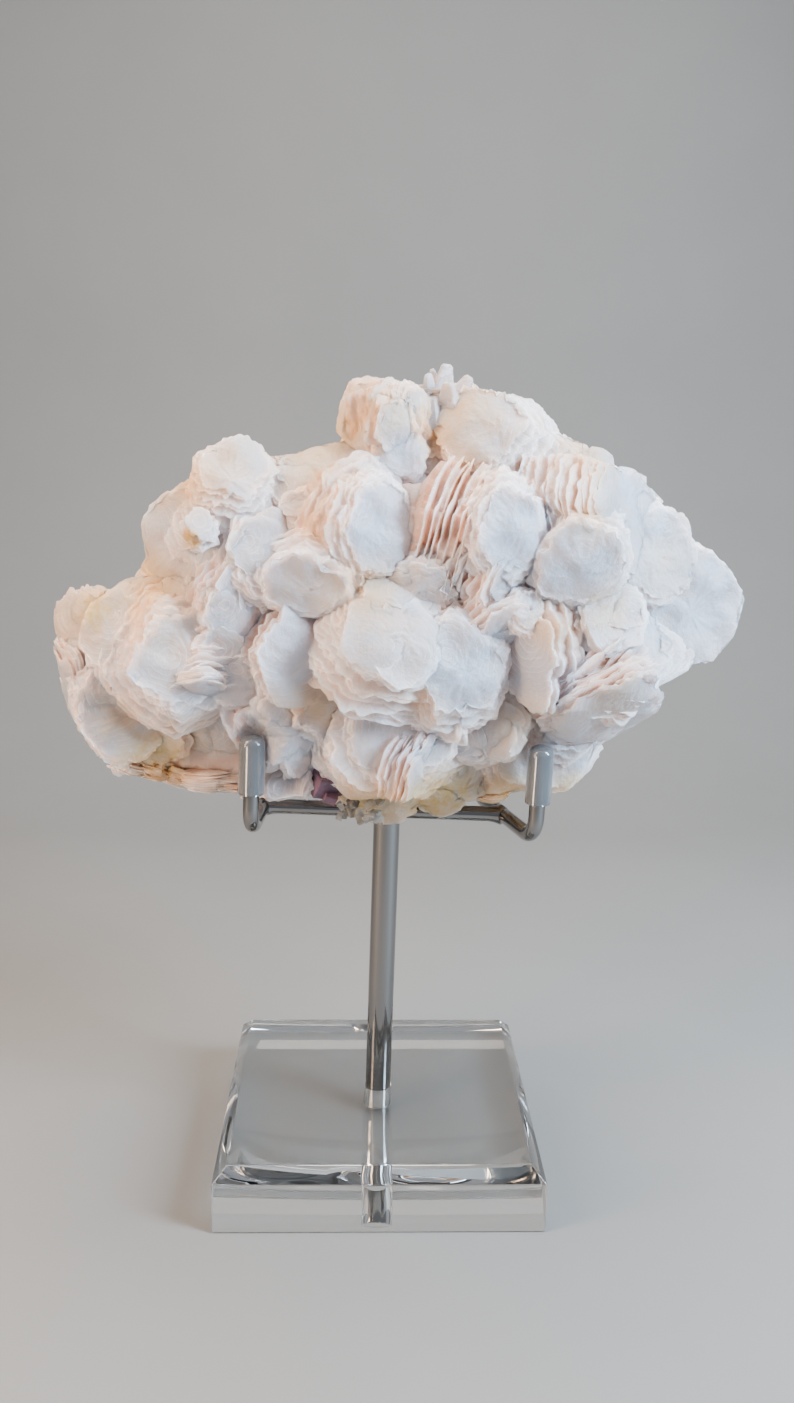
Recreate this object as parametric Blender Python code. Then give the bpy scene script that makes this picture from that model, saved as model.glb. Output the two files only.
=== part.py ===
"""A calcite cluster on its display stand.

The specimen is one grown piece: rosettes, each a stack of thin rounded calcite plates, on a slab of matrix.
It sits in a cradle of bent wire, which a post carries above a clear block with bevelled edges.

Frame: +Z up, the viewer looks along +Y, and the origin is the centre of the block's underside.
Sizes are in millimetres up to MM, which turns them into metres.
"""

import math
import random

import bmesh
import bpy
from mathutils import Matrix, Vector

MM = 0.001

# Clear block: a square of 20 mm sheet with its upper edges bevelled at 45 degrees
BLOCK_SIDE = 100.0
BLOCK_HEIGHT = 20.0
BLOCK_BEVEL = 4.2
HOLE_DEPTH = 15.0

# Post: a round rod that leans a little to the right in its hole
POST_RADIUS = 4.2
POST_LEAN = 1.0

# Cradle of bent wire, which tilts a little further than the post
WIRE_RADIUS = 2.4
CRADLE_HEIGHT = 116.3
CRADLE_TILT = 1.8
BEND_RADIUS = 7.0
LEFT_BAR = 39.4
RIGHT_BAR = 37.0
LEFT_REACH = (-41.2, -25.0)
RIGHT_REACH = (44.0, -24.0)
BACK_REACH = 21.0
PRONG_HEIGHT = 27.3
SUPPORT_HEIGHT = 72.0
SUPPORT_LEAN = 2.0
BEND_STEPS = 5

# Clear soft caps on the four wire ends
SLEEVE_RADIUS = 3.9
SLEEVE_LENGTH = 18.0
SLEEVE_CROWN = 2.2
SLEEVE_EDGE = 0.3

# Room left between pieces that touch
GAP = 0.3

# Facets
ROUND_SIDES = 28
WIRE_SIDES = 10
SLEEVE_SIDES = 12
LARGE_PLATE_SIDES = 10
SMALL_PLATE_SIDES = 8
LARGE_PLATE = 12.5

# Rosettes: shares of the radius. PLATE_SHARE is the share of the pitch that a plate fills before its ledge.
CROWN_TAPER = 0.16
CROWN_RISE = 0.10
SHOULDER_RISE = 0.07
SHOULDER_WIDTH = 0.52
LEDGE_DEPTH = 0.10
PLATE_SHARE = 0.72
PLATE_SHIFT = 0.04
PLATE_SPREAD = 0.04
OUTLINE_WAVES = ((2, 0.06), (3, 0.05), (5, 0.035))

# Rosettes of the front, as (name, centre of the outer plate, turn, tilt, radius, depth, plates).
# Turn is how far the outer plate faces to the right of the viewer, and tilt how far it faces up, in degrees.
FRONT_ROSETTES = (
    ("middle_dome", (-2, -42, 180), 22, 22, 16.5, 24, 5),
    ("middle_disc", (24, -38, 170), 18, 2, 14.5, 22, 3),
    ("lower_disc", (6, -30, 144), 5, 8, 17, 20, 3),
    ("prong_fan", (-37, -19, 139), 4, -16, 16.5, 16, 5),
    ("prong_fan_shoulder", (-26, -27, 156), 15, 10, 14.5, 22, 4),
    ("prong_comb", (-57, -23, 149), -28, -8, 12, 18, 4),
    ("right_skirt", (48, -17, 140), 8, 2, 18, 18, 3),
    ("right_ledge", (50, -25, 156), 8, 24, 13, 16, 3),
    ("right_fan", (73, -29, 160), 34, -34, 17, 28, 6),
    ("right_fan_crest", (75, -29, 178), 26, -18, 16, 24, 4),
    ("upright_blades", (47, -36, 171), 58, 0, 14, 22, 5),
    ("upright_blades_top", (36, -33, 191), 48, -28, 10, 16, 3),
    ("right_shield", (57, -34, 195), 8, -14, 14.5, 20, 3),
    ("right_crown", (68, -26, 213), 34, 16, 17, 26, 5),
    ("right_wing", (83, -21, 197), 24, 8, 15, 20, 3),
    ("far_right_plate", (98, -14, 185), 12, 0, 17.5, 16, 3),
    ("far_right_rim", (86, -9, 204), 15, 20, 12, 14, 2),
    ("top_dome", (33, -22, 236), -18, 26, 17, 24, 5),
    ("top_saddle", (54, -20, 222), 12, 14, 13, 18, 3),
    ("top_column", (7, -16, 240), 48, 10, 11, 20, 3),
    ("top_left_block", (-4, -11, 236), -22, 12, 10.5, 16, 2),
    ("top_hollow", (12, -22, 222), 4, 22, 13, 14, 2),
    ("left_dome", (-41, -28, 218), 5, 24, 14, 22, 4),
    ("left_hub", (-59, -23, 203), -30, -2, 15.5, 20, 4),
    ("warm_cap", (-15, -25, 218), 5, 36, 16, 20, 3),
    ("bright_oval", (-4, -36, 207), 28, 6, 13, 20, 3),
    ("open_stack", (29, -34, 207), 52, -16, 15, 26, 7),
    ("scalloped_stack", (-28, -34, 197), 24, 12, 12, 16, 3),
    ("smooth_leaf", (-19, -37, 190), -14, -20, 12, 16, 2),
    ("slender_blades", (-36, -34, 182), 60, -18, 14, 18, 5),
    ("left_sail", (-53, -30, 170), 26, 2, 16.5, 22, 4),
    ("left_drape", (-25, -32, 166), 10, -6, 14.5, 18, 3),
    ("left_knob", (-79, -28, 176), -8, 16, 14.5, 20, 4),
    ("left_knob_rim", (-92, -19, 175), -42, 6, 12.5, 14, 3),
    ("left_roof", (-66, -16, 186), -5, 68, 15.5, 8, 3),
    ("left_foot", (-90, -15, 149), -58, -14, 17, 24, 5),
    ("left_foot_face", (-74, -22, 150), 16, -6, 14.5, 18, 3),
    ("left_underside", (-60, -13, 138), -8, -22, 15.5, 14, 2),
    ("left_toe", (-80, -11, 141), -34, -20, 14.5, 14, 3),
    ("small_blades", (22, -24, 134), 58, -16, 11, 16, 3),
    ("base_ledge", (24, -12, 127), 10, -20, 13, 10, 2),
    ("base_ledge_left", (0, -13, 126), -5, -18, 12, 10, 2),
    ("centre_web", (9, -28, 192), -15, -10, 12, 12, 2),
    ("right_web", (42, -29, 206), 20, 10, 12, 12, 2),
    ("left_web", (-54, -26, 188), -10, 20, 12, 12, 2),
    ("lower_web", (-12, -26, 156), 30, -10, 11, 12, 2),
    ("lower_right_web", (30, -25, 150), -20, 5, 12, 12, 2),
)

# Lower rosettes that close the back, which the viewer doesn't see
BACK_ROSETTES = (
    ("back_left_foot", (-72, 15, 150), 196, -10, 17, 12, 2),
    ("back_left_knob", (-77, 15, 173), 202, 10, 15, 12, 2),
    ("back_left_hub", (-54, 18, 199), 190, 14, 16, 14, 2),
    ("back_left_middle", (-48, 19, 172), 184, 0, 17, 14, 2),
    ("back_left_low", (-46, 17, 145), 180, -16, 15, 12, 2),
    ("back_middle_low", (-12, 17, 143), 176, -14, 17, 12, 2),
    ("back_middle", (-14, 20, 174), 182, 2, 18, 14, 2),
    ("back_middle_high", (-14, 18, 208), 182, 14, 18, 14, 2),
    ("back_top", (19, 15, 234), 174, 18, 16, 14, 2),
    ("back_right_low", (24, 18, 146), 174, -12, 17, 12, 2),
    ("back_right_inner", (20, 20, 176), 178, 0, 17, 14, 2),
    ("back_right_high", (22, 19, 206), 172, 8, 16, 14, 2),
    ("back_right", (53, 18, 160), 168, -12, 18, 14, 2),
    ("back_right_outer", (53, 18, 193), 170, 4, 18, 14, 2),
    ("back_right_crown", (50, 14, 218), 164, 22, 14, 12, 2),
    ("back_right_wing", (84, 12, 186), 158, 4, 17, 12, 2),
)

# Small crystals beside the rosettes, as (name, centre, size, turn, tilt)
SIDE_CRYSTALS = (
    ("peak_crystal", (17, -6, 249), 8.5, 32, 42),
    ("violet_crystal", (-18, -15, 130), 7.5, 28, 24),
    ("violet_corner", (-14, -13, 127), 5.5, -20, 40),
    ("clear_crystal", (-10, -16, 122), 5.0, 40, 30),
)

# Matrix slab, as seen from the front: its outline in (x, z), and the depths that it spans
MATRIX_OUTLINE = (
    (-86, 128), (-62, 121), (-42, 120), (-26, 123), (-17, 119), (-6, 118), (16, 118), (34, 119),
    (48, 122), (58, 130), (66, 141), (82, 154), (88, 166), (102, 171), (107, 184), (99, 195),
    (90, 208), (78, 221), (60, 230), (44, 240), (22, 250), (6, 249), (-4, 243), (-13, 229),
    (-34, 228), (-55, 218), (-67, 205), (-70, 193), (-88, 184), (-95, 169), (-94, 147),
)
MATRIX_MIDDLE = (0, 180)
MATRIX_LAYERS = ((-27, 0.72), (-19, 0.90), (-8, 0.98), (5, 0.98), (12, 0.86))
MATRIX_BULGE = 2
MATRIX_DRAFT = 0.03


def vector(x, y, z):
    """A point given in millimetres, in metres."""
    return Vector((x, y, z)) * MM


def clear_scene():
    for obj in list(bpy.data.objects):
        bpy.data.objects.remove(obj)


def material(name, colour, roughness, metallic=0.0, transmission=0.0):
    made = bpy.data.materials.new(name)
    made.use_nodes = True
    shader = made.node_tree.nodes["Principled BSDF"]
    shader.inputs["Base Color"].default_value = (*colour, 1.0)
    shader.inputs["Roughness"].default_value = roughness
    shader.inputs["Metallic"].default_value = metallic
    shader.inputs["Transmission Weight"].default_value = transmission
    return made


def add_object(name, bm, finish=None, parent=None, collection=None):
    """Turns a bmesh into a named object, with its faces pointing out."""
    bmesh.ops.recalc_face_normals(bm, faces=bm.faces)
    mesh = bpy.data.meshes.new(name)
    bm.to_mesh(mesh)
    bm.free()
    obj = bpy.data.objects.new(name, mesh)
    (collection or bpy.context.scene.collection).objects.link(obj)
    if finish:
        mesh.materials.append(finish)
    obj.parent = parent
    return obj


def shade_round(obj, sharp_angle=35.0):
    obj.data.shade_smooth()
    obj.data.set_sharp_from_angle(angle=math.radians(sharp_angle))


def make_cutter(obj):
    obj.hide_render = True
    obj.display_type = "WIRE"
    return obj


def boolean(obj, other, operation):
    step = obj.modifiers.new(operation.title(), "BOOLEAN")
    step.operation = operation
    step.solver = "EXACT"
    if isinstance(other, bpy.types.Collection):
        step.operand_type = "COLLECTION"
        step.collection = other
    else:
        step.object = other


def ring(bm, centre, side, up, radius, count):
    """A ring of vertices round centre, in the plane of the unit vectors side and up."""
    made = []
    for i in range(count):
        angle = math.tau * i / count
        made.append(bm.verts.new(centre + (side * math.cos(angle) + up * math.sin(angle)) * radius))
    return made


def bridge(bm, first, second):
    count = len(first)
    for i in range(count):
        j = (i + 1) % count
        bm.faces.new((first[i], first[j], second[j], second[i]))


def turned(bm, profile, sides):
    """A solid turned about Z from its (radius, height) profile in millimetres, with a flat face at each end."""
    side, up = Vector((1, 0, 0)), Vector((0, 1, 0))
    rings = [ring(bm, vector(0, 0, height), side, up, radius * MM, sides) for radius, height in profile]
    for first, second in zip(rings, rings[1:]):
        bridge(bm, first, second)
    bm.faces.new(rings[0])
    bm.faces.new(rings[-1])


def tube(bm, points, radius, sides):
    """A round bar along points in metres, with flat ends. The ring turns with the path and never twists."""
    ways = []
    for i in range(len(points)):
        before = points[i] - points[i - 1] if i > 0 else points[1] - points[0]
        after = points[i + 1] - points[i] if i + 1 < len(points) else before
        ways.append((before.normalized() + after.normalized()).normalized())
    side = ways[0].orthogonal().normalized()
    rings = []
    for i, point in enumerate(points):
        if i > 0:
            side = ways[i - 1].rotation_difference(ways[i]) @ side
        rings.append(ring(bm, point, side, ways[i].cross(side), radius * MM, sides))
    for first, second in zip(rings, rings[1:]):
        bridge(bm, first, second)
    bm.faces.new(rings[0])
    bm.faces.new(rings[-1])


def bend(before, corner, after, radius, steps=BEND_STEPS):
    """Points of a round bend of that radius at corner, between the points before and after it."""
    inward = (before - corner).normalized()
    outward = (after - corner).normalized()
    half = inward.angle(outward) / 2
    reach = radius * MM / math.tan(half)
    centre = corner + (inward + outward).normalized() * (radius * MM / math.sin(half))
    start = corner + inward * reach - centre
    turn = start.rotation_difference(corner + outward * reach - centre)
    made = []
    for i in range(steps + 1):
        part = turn.copy()
        part.angle = turn.angle * i / steps
        made.append(centre + part @ start)
    return made


# The clear block and its hole


def build_block(post_lean):
    half = BLOCK_SIDE / 2
    inner = half - BLOCK_BEVEL
    bm = bmesh.new()
    rings = []
    for reach, height in ((half, 0), (half, BLOCK_HEIGHT - BLOCK_BEVEL), (inner, BLOCK_HEIGHT)):
        corners = ((-reach, -reach), (reach, -reach), (reach, reach), (-reach, reach))
        rings.append([bm.verts.new(vector(x, y, height)) for x, y in corners])
    for first, second in zip(rings, rings[1:]):
        bridge(bm, first, second)
    bm.faces.new(rings[0])
    bm.faces.new(rings[-1])
    clear = material("clear_block", (0.95, 0.96, 0.96), 0.03, transmission=1.0)
    block = add_object("base_block", bm, clear)
    hole = bmesh.new()
    turned(hole, ((POST_RADIUS + GAP, -HOLE_DEPTH), (POST_RADIUS + GAP, BLOCK_HEIGHT)), ROUND_SIDES)
    cutter = make_cutter(add_object("hole_cutter", hole))
    cutter.location = vector(0, 0, BLOCK_HEIGHT)
    cutter.rotation_euler.y = post_lean
    boolean(block, cutter, "DIFFERENCE")
    return block


# The post, hollowed at its top to take the crossbar


def build_post(post_lean, chrome, bar_room):
    bm = bmesh.new()
    rise = CRADLE_HEIGHT - BLOCK_HEIGHT
    turned(bm, ((POST_RADIUS, GAP - HOLE_DEPTH), (POST_RADIUS, rise)), ROUND_SIDES)
    post = add_object("post", bm, chrome)
    post.location = vector(0, 0, BLOCK_HEIGHT)
    post.rotation_euler.y = post_lean
    shade_round(post)
    boolean(post, bar_room, "DIFFERENCE")
    return post


# The wire cradle: a crossbar and two arms, each bent up into a short prong in front and a tall support behind


def arm_corners(bar_end, reach):
    """The bends of one arm, from the tip of its prong to the tip of its support, in the cradle's frame."""
    front = vector(reach[0], reach[1], 0)
    at_bar = vector(bar_end, 0, 0)
    away = (at_bar - front).normalized()
    back = front + away * ((BACK_REACH - reach[1]) * MM / away.y)
    rise = vector(0, 0, SUPPORT_HEIGHT)
    lean = Matrix.Rotation(-math.radians(SUPPORT_LEAN), 3, "X")
    return (front + vector(0, 0, PRONG_HEIGHT), front, back, back + lean @ rise)


def arm_path(corners):
    prong_tip, front, back, support_tip = corners
    front_bend = bend(prong_tip, front, back, BEND_RADIUS)
    back_bend = bend(front, back, support_tip, BEND_RADIUS)
    return [prong_tip, *front_bend, *back_bend, support_tip]


def build_arm(name, path, chrome, cradle):
    bm = bmesh.new()
    tube(bm, path, WIRE_RADIUS, WIRE_SIDES)
    arm = add_object(name, bm, chrome, cradle)
    shade_round(arm, 50.0)
    return arm


def room_round(name, path, radius, cradle):
    """A cutter that leaves the gap round a wire or a sleeve."""
    bm = bmesh.new()
    tube(bm, path, radius + GAP, WIRE_SIDES)
    return make_cutter(add_object(name, bm, parent=cradle))


def build_crossbar(chrome, cradle, arm_rooms):
    bm = bmesh.new()
    tube(bm, [vector(-LEFT_BAR, 0, 0), vector(RIGHT_BAR, 0, 0)], WIRE_RADIUS, WIRE_SIDES)
    bar = add_object("crossbar", bm, chrome, cradle)
    shade_round(bar)
    for room in arm_rooms:
        boolean(bar, room, "DIFFERENCE")
    return bar


def build_sleeve(name, tip, way, clear, cradle):
    """A clear cap, closed at its crown and open below, drawn over a wire end."""
    bore = WIRE_RADIUS + GAP
    skirt = SLEEVE_CROWN - SLEEVE_LENGTH
    rounding = [math.radians(angle) for angle in (0, 30, 60, 80)]
    crown = [(SLEEVE_RADIUS * math.cos(a), SLEEVE_CROWN * math.sin(a)) for a in rounding]
    rim = ((SLEEVE_RADIUS - SLEEVE_EDGE, skirt), (SLEEVE_RADIUS, skirt + SLEEVE_EDGE))
    profile = ((bore, GAP), (bore, skirt), *rim, *crown)
    bm = bmesh.new()
    turned(bm, profile, SLEEVE_SIDES)
    sleeve = add_object(name, bm, clear, cradle)
    sleeve.location = tip
    sleeve.rotation_mode = "QUATERNION"
    sleeve.rotation_quaternion = way.to_track_quat("Z", "Y")
    shade_round(sleeve)
    return sleeve


def linked_vertices(start):
    """Every vertex that edges join to start."""
    found = {start}
    waiting = [start]
    while waiting:
        for edge in waiting.pop().link_edges:
            for vert in edge.verts:
                if vert not in found:
                    found.add(vert)
                    waiting.append(vert)
    return found


def keep_outer_body(obj):
    """Applies the modifiers, and fills the small pockets that neighbouring rosettes seal between them."""
    evaluated = obj.evaluated_get(bpy.context.evaluated_depsgraph_get())
    mesh = bpy.data.meshes.new_from_object(evaluated)
    obj.modifiers.clear()
    obj.data = mesh
    bm = bmesh.new()
    bm.from_mesh(mesh)
    lowest = min(bm.verts, key=lambda vert: vert.co.z)
    outer = linked_vertices(lowest)
    bmesh.ops.delete(bm, geom=[vert for vert in bm.verts if vert not in outer], context="VERTS")
    bm.to_mesh(mesh)
    bm.free()


# The specimen: a matrix slab, and the rosettes of plates that grow from it


def facing(turn, tilt):
    """The way that a plate faces, from its turn to the right and its tilt up."""
    turn, tilt = math.radians(turn), math.radians(tilt)
    return Vector((math.sin(turn) * math.cos(tilt), -math.cos(turn) * math.cos(tilt), math.sin(tilt)))


def plate_outline(draw, sides):
    """How far each corner of a plate lies from its centre, as a share of its radius."""
    phases = [draw.uniform(0, math.tau) for _ in OUTLINE_WAVES]
    made = []
    for i in range(sides):
        angle = math.tau * i / sides
        swells = [size * math.sin(n * angle + phase) for (n, size), phase in zip(OUTLINE_WAVES, phases)]
        made.append(1 + sum(swells))
    return made


def plate_ring(bm, centre, side, up, radius, outline):
    made = []
    for i, share in enumerate(outline):
        angle = math.tau * i / len(outline)
        out = side * math.cos(angle) + up * math.sin(angle)
        made.append(bm.verts.new(centre + out * (radius * share * MM)))
    return made


def build_rosette(rosette, collection):
    """A stack of plates: a crowned outer plate, and a ledge where each plate behind it stands proud."""
    name, centre, turn, tilt, radius, depth, plates = rosette
    draw = random.Random(name)
    way = facing(turn, tilt)
    side = way.orthogonal().normalized()
    up = way.cross(side)
    outline = plate_outline(draw, LARGE_PLATE_SIDES if radius > LARGE_PLATE else SMALL_PLATE_SIDES)
    front = vector(*centre)
    pitch = depth / plates
    bm = bmesh.new()
    crown = bm.verts.new(front + way * (CROWN_RISE * radius * MM))
    shoulder = front + way * (SHOULDER_RISE * radius * MM)
    rings = [plate_ring(bm, shoulder, side, up, radius * SHOULDER_WIDTH, outline)]
    for i in range(len(outline)):
        bm.faces.new((crown, rings[0][i], rings[0][(i + 1) % len(outline)]))
    for plate in range(plates):
        taper = 1 - CROWN_TAPER * (1 - plate / plates) ** 2
        width = radius * taper * (1 + draw.uniform(-PLATE_SPREAD, PLATE_SPREAD))
        shift = (side * draw.uniform(-1, 1) + up * draw.uniform(-1, 1)) * (PLATE_SHIFT * radius * MM)
        edge = front + shift - way * (plate * pitch * MM)
        neck = edge - way * (PLATE_SHARE * pitch * MM)
        rings.append(plate_ring(bm, edge, side, up, width, outline))
        rings.append(plate_ring(bm, neck, side, up, width * (1 - LEDGE_DEPTH), outline))
    for first, second in zip(rings, rings[1:]):
        bridge(bm, first, second)
    bm.faces.new(rings[-1])
    make_cutter(add_object(name, bm, collection=collection))


def build_side_crystal(name, centre, size, turn, tilt, collection):
    bm = bmesh.new()
    bmesh.ops.create_cube(bm, size=size * MM)
    crystal = make_cutter(add_object(name, bm, collection=collection))
    crystal.location = vector(*centre)
    crystal.rotation_euler = (math.radians(tilt), math.radians(tilt / 2), math.radians(turn))


def build_matrix():
    """The slab that everything grows from, as rings of its outline from front to back."""
    draw = random.Random("matrix")
    bm = bmesh.new()
    rings = []
    for y, share in MATRIX_LAYERS:
        layer = []
        for x, z in MATRIX_OUTLINE:
            around = share * (1 - draw.uniform(0, MATRIX_DRAFT))
            across = MATRIX_MIDDLE[0] + (x - MATRIX_MIDDLE[0]) * around
            height = MATRIX_MIDDLE[1] + (z - MATRIX_MIDDLE[1]) * around
            layer.append(bm.verts.new(vector(across, y + draw.uniform(-1, 1), height)))
        rings.append(layer)
    for first, second in zip(rings, rings[1:]):
        bridge(bm, first, second)
    ends = ((rings[0], MATRIX_LAYERS[0][0] - MATRIX_BULGE), (rings[-1], MATRIX_LAYERS[-1][0] + MATRIX_BULGE))
    for layer, y in ends:
        middle = bm.verts.new(vector(MATRIX_MIDDLE[0], y, MATRIX_MIDDLE[1]))
        for i in range(len(layer)):
            bm.faces.new((middle, layer[i], layer[(i + 1) % len(layer)]))
    return add_object("calcite_cluster", bm, material("calcite", (0.93, 0.86, 0.84), 0.45))


def build_cluster(cradle_rooms):
    cluster = build_matrix()
    growths = bpy.data.collections.new("growths")
    bpy.context.scene.collection.children.link(growths)
    for rosette in FRONT_ROSETTES + BACK_ROSETTES:
        build_rosette(rosette, growths)
    for crystal in SIDE_CRYSTALS:
        build_side_crystal(*crystal, growths)
    boolean(cluster, growths, "UNION")
    for room in cradle_rooms:
        boolean(cluster, room, "DIFFERENCE")
    keep_outer_body(cluster)
    return cluster


def build_cradle(post_lean, chrome, clear_cap):
    """The wires and sleeves on top of the post. It gives back the room that each of them needs."""
    cradle = bpy.data.objects.new("cradle", None)
    bpy.context.scene.collection.objects.link(cradle)
    across = math.tan(post_lean) * (CRADLE_HEIGHT - BLOCK_HEIGHT)
    cradle.location = vector(across, 0, CRADLE_HEIGHT)
    cradle.rotation_euler.y = math.radians(CRADLE_TILT)

    bar_path = [vector(-LEFT_BAR, 0, 0), vector(RIGHT_BAR, 0, 0)]
    bar_room = room_round("crossbar_room", bar_path, WIRE_RADIUS, cradle)
    arm_rooms, sleeve_rooms = [], []
    for hand, bar_end, reach in (("left", -LEFT_BAR, LEFT_REACH), ("right", RIGHT_BAR, RIGHT_REACH)):
        corners = arm_corners(bar_end, reach)
        path = arm_path(corners)
        build_arm(f"{hand}_arm", path, chrome, cradle)
        arm_rooms.append(room_round(f"{hand}_arm_room", path, WIRE_RADIUS, cradle))
        prong_tip, front, back, support_tip = corners
        for end, tip, foot in (("prong", prong_tip, front), ("support", support_tip, back)):
            way = (tip - foot).normalized()
            build_sleeve(f"{hand}_{end}_sleeve", tip, way, clear_cap, cradle)
            capped = [tip - way * (SLEEVE_LENGTH * MM), tip + way * ((SLEEVE_CROWN + GAP) * MM)]
            sleeve_rooms.append(room_round(f"{hand}_{end}_sleeve_room", capped, SLEEVE_RADIUS, cradle))
    build_crossbar(chrome, cradle, arm_rooms)
    return bar_room, arm_rooms, sleeve_rooms


def main():
    clear_scene()
    post_lean = math.radians(POST_LEAN)
    chrome = material("chrome", (0.62, 0.62, 0.63), 0.08, metallic=1.0)
    clear_cap = material("clear_cap", (0.93, 0.94, 0.95), 0.15, transmission=0.9)
    bar_room, arm_rooms, sleeve_rooms = build_cradle(post_lean, chrome, clear_cap)
    build_block(post_lean)
    build_post(post_lean, chrome, bar_room)
    build_cluster([bar_room, *arm_rooms, *sleeve_rooms])


main()
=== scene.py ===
# %% [markdown]
# # A calcite cluster on its display stand
# The object is a natural specimen, a cloud of pale pink calcite rosettes, held in a bent wire cradle above a
# clear block. Each rosette is a stack of thin plates with ragged rims, so the whole look comes from plate
# edges, from the gaps between them, and from light that enters the crystal and comes out softened.
# The solids of the frame give every piece its place. This script gives each one its surface.

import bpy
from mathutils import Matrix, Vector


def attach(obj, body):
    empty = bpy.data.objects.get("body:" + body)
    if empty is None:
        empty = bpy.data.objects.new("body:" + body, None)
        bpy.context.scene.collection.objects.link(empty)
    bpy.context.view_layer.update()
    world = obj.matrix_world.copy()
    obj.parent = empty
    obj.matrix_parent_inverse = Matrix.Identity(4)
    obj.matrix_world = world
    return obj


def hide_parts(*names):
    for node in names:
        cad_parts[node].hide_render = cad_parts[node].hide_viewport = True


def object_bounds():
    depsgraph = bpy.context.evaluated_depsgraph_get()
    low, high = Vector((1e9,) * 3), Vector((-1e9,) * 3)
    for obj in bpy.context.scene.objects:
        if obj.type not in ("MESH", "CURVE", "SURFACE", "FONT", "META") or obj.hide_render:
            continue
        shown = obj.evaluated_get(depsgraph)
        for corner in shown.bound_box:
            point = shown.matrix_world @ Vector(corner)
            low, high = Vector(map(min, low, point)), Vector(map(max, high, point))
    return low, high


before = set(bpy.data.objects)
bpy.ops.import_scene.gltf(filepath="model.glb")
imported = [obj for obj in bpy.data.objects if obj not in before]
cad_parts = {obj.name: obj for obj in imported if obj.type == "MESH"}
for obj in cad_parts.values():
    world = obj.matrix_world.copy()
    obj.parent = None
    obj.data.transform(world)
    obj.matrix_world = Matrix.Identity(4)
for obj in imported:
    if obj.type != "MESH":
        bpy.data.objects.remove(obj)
SOLID_BOUNDS = [[float(value) for value in corner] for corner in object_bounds()]
print("solid box, metres:", SOLID_BOUNDS)

# %% Tools that every step below uses
import math
import random

import bmesh
import bpy
import numpy as np
from mathutils import Matrix, Vector, noise

MM = 0.001
ROOT = "root"


def point(x, y, z):
    """A point in millimetres, as Blender's metres."""
    return Vector((x, y, z)) * MM


def add_piece(name, mesh, finish, stands_for=()):
    """Links a mesh as a piece of the object, and says which solids it takes the place of."""
    piece = bpy.data.objects.new(name, mesh)
    bpy.context.scene.collection.objects.link(piece)
    if not mesh.materials:
        mesh.materials.append(finish)
    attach(piece, ROOT)
    if stands_for:
        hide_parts(*stands_for)
    return piece


def shade_round(mesh, sharp_angle=35.0):
    mesh.shade_smooth()
    mesh.set_sharp_from_angle(angle=math.radians(sharp_angle))


# %% [markdown]
# ## The camera
# The photograph was taken from a little above the specimen's middle, close by and nearly straight on. The
# camera's place and its three small angles were worked out from the corners of the square block, so the
# render can be laid over the photograph. Roll is kept as well, since the picture leans by almost a degree.

# %% Place the camera
CAMERA_PLACE = point(-7.5, -370.9, 235.1)
CAMERA_PITCH = math.radians(12.65)
CAMERA_YAW = math.radians(1.82)
CAMERA_ROLL = math.radians(0.95)
LENS_MM = 31.23
SENSOR_MM = 36.0


def aim_camera(camera):
    ahead = Vector((
        math.sin(CAMERA_YAW) * math.cos(CAMERA_PITCH),
        math.cos(CAMERA_YAW) * math.cos(CAMERA_PITCH),
        -math.sin(CAMERA_PITCH),
    ))
    right = Vector((math.cos(CAMERA_YAW), -math.sin(CAMERA_YAW), 0))
    up = right.cross(ahead)
    turned_right = right * math.cos(CAMERA_ROLL) + up * math.sin(CAMERA_ROLL)
    turned_up = up * math.cos(CAMERA_ROLL) - right * math.sin(CAMERA_ROLL)
    pose = Matrix((turned_right, turned_up, -ahead)).transposed().to_4x4()
    pose.translation = CAMERA_PLACE
    camera.matrix_world = pose


lens = bpy.data.cameras.new("camera")
lens.lens = LENS_MM
lens.sensor_width = SENSOR_MM
lens.clip_start = 0.01
camera = bpy.data.objects.new("camera", lens)
bpy.context.scene.collection.objects.link(camera)
aim_camera(camera)
bpy.context.scene.camera = camera
print("camera at", tuple(round(value, 4) for value in camera.location))

# %% [markdown]
# ## Tools for the finishes
# Every finish here is a shader fed by noises that are laid over the piece itself, so a scratch or a cloud
# stays where it is when the view changes. These few tools keep each finish short enough to read.

# %% Make short tools for shader nodes
def principled(name):
    """A new material, its shader and its node tree."""
    material = bpy.data.materials.new(name)
    material.use_nodes = True
    tree = material.node_tree
    return material, tree.nodes["Principled BSDF"], tree


def add_node(tree, kind, **values):
    """A node with its properties set, and its unlinked inputs set where the name is an input's."""
    node = tree.nodes.new(kind)
    for key, value in values.items():
        if hasattr(node, key):
            setattr(node, key, value)
        else:
            node.inputs[key.replace("_", " ")].default_value = value
    return node


def mixed(tree, factor, first, second):
    """Mixes two colours, each a value or a node's output."""
    mix = add_node(tree, "ShaderNodeMix", data_type="RGBA")
    for socket, colour in (("A", first), ("B", second)):
        if isinstance(colour, tuple):
            mix.inputs[socket].default_value = colour
        else:
            tree.links.new(colour, mix.inputs[socket])
    tree.links.new(factor, mix.inputs["Factor"])
    return mix.outputs["Result"]


def scaled(tree, value, low, high, to_low=0.0, to_high=1.0):
    """A value's range from low to high, spread over another range and held at its ends."""
    span = add_node(tree, "ShaderNodeMapRange", From_Min=low, From_Max=high, To_Min=to_low, To_Max=to_high)
    tree.links.new(value, span.inputs["Value"])
    return span.outputs["Result"]


def product(tree, first, second):
    times = add_node(tree, "ShaderNodeMath", operation="MULTIPLY")
    tree.links.new(first, times.inputs[0])
    tree.links.new(second, times.inputs[1])
    return times.outputs["Value"]


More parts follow.
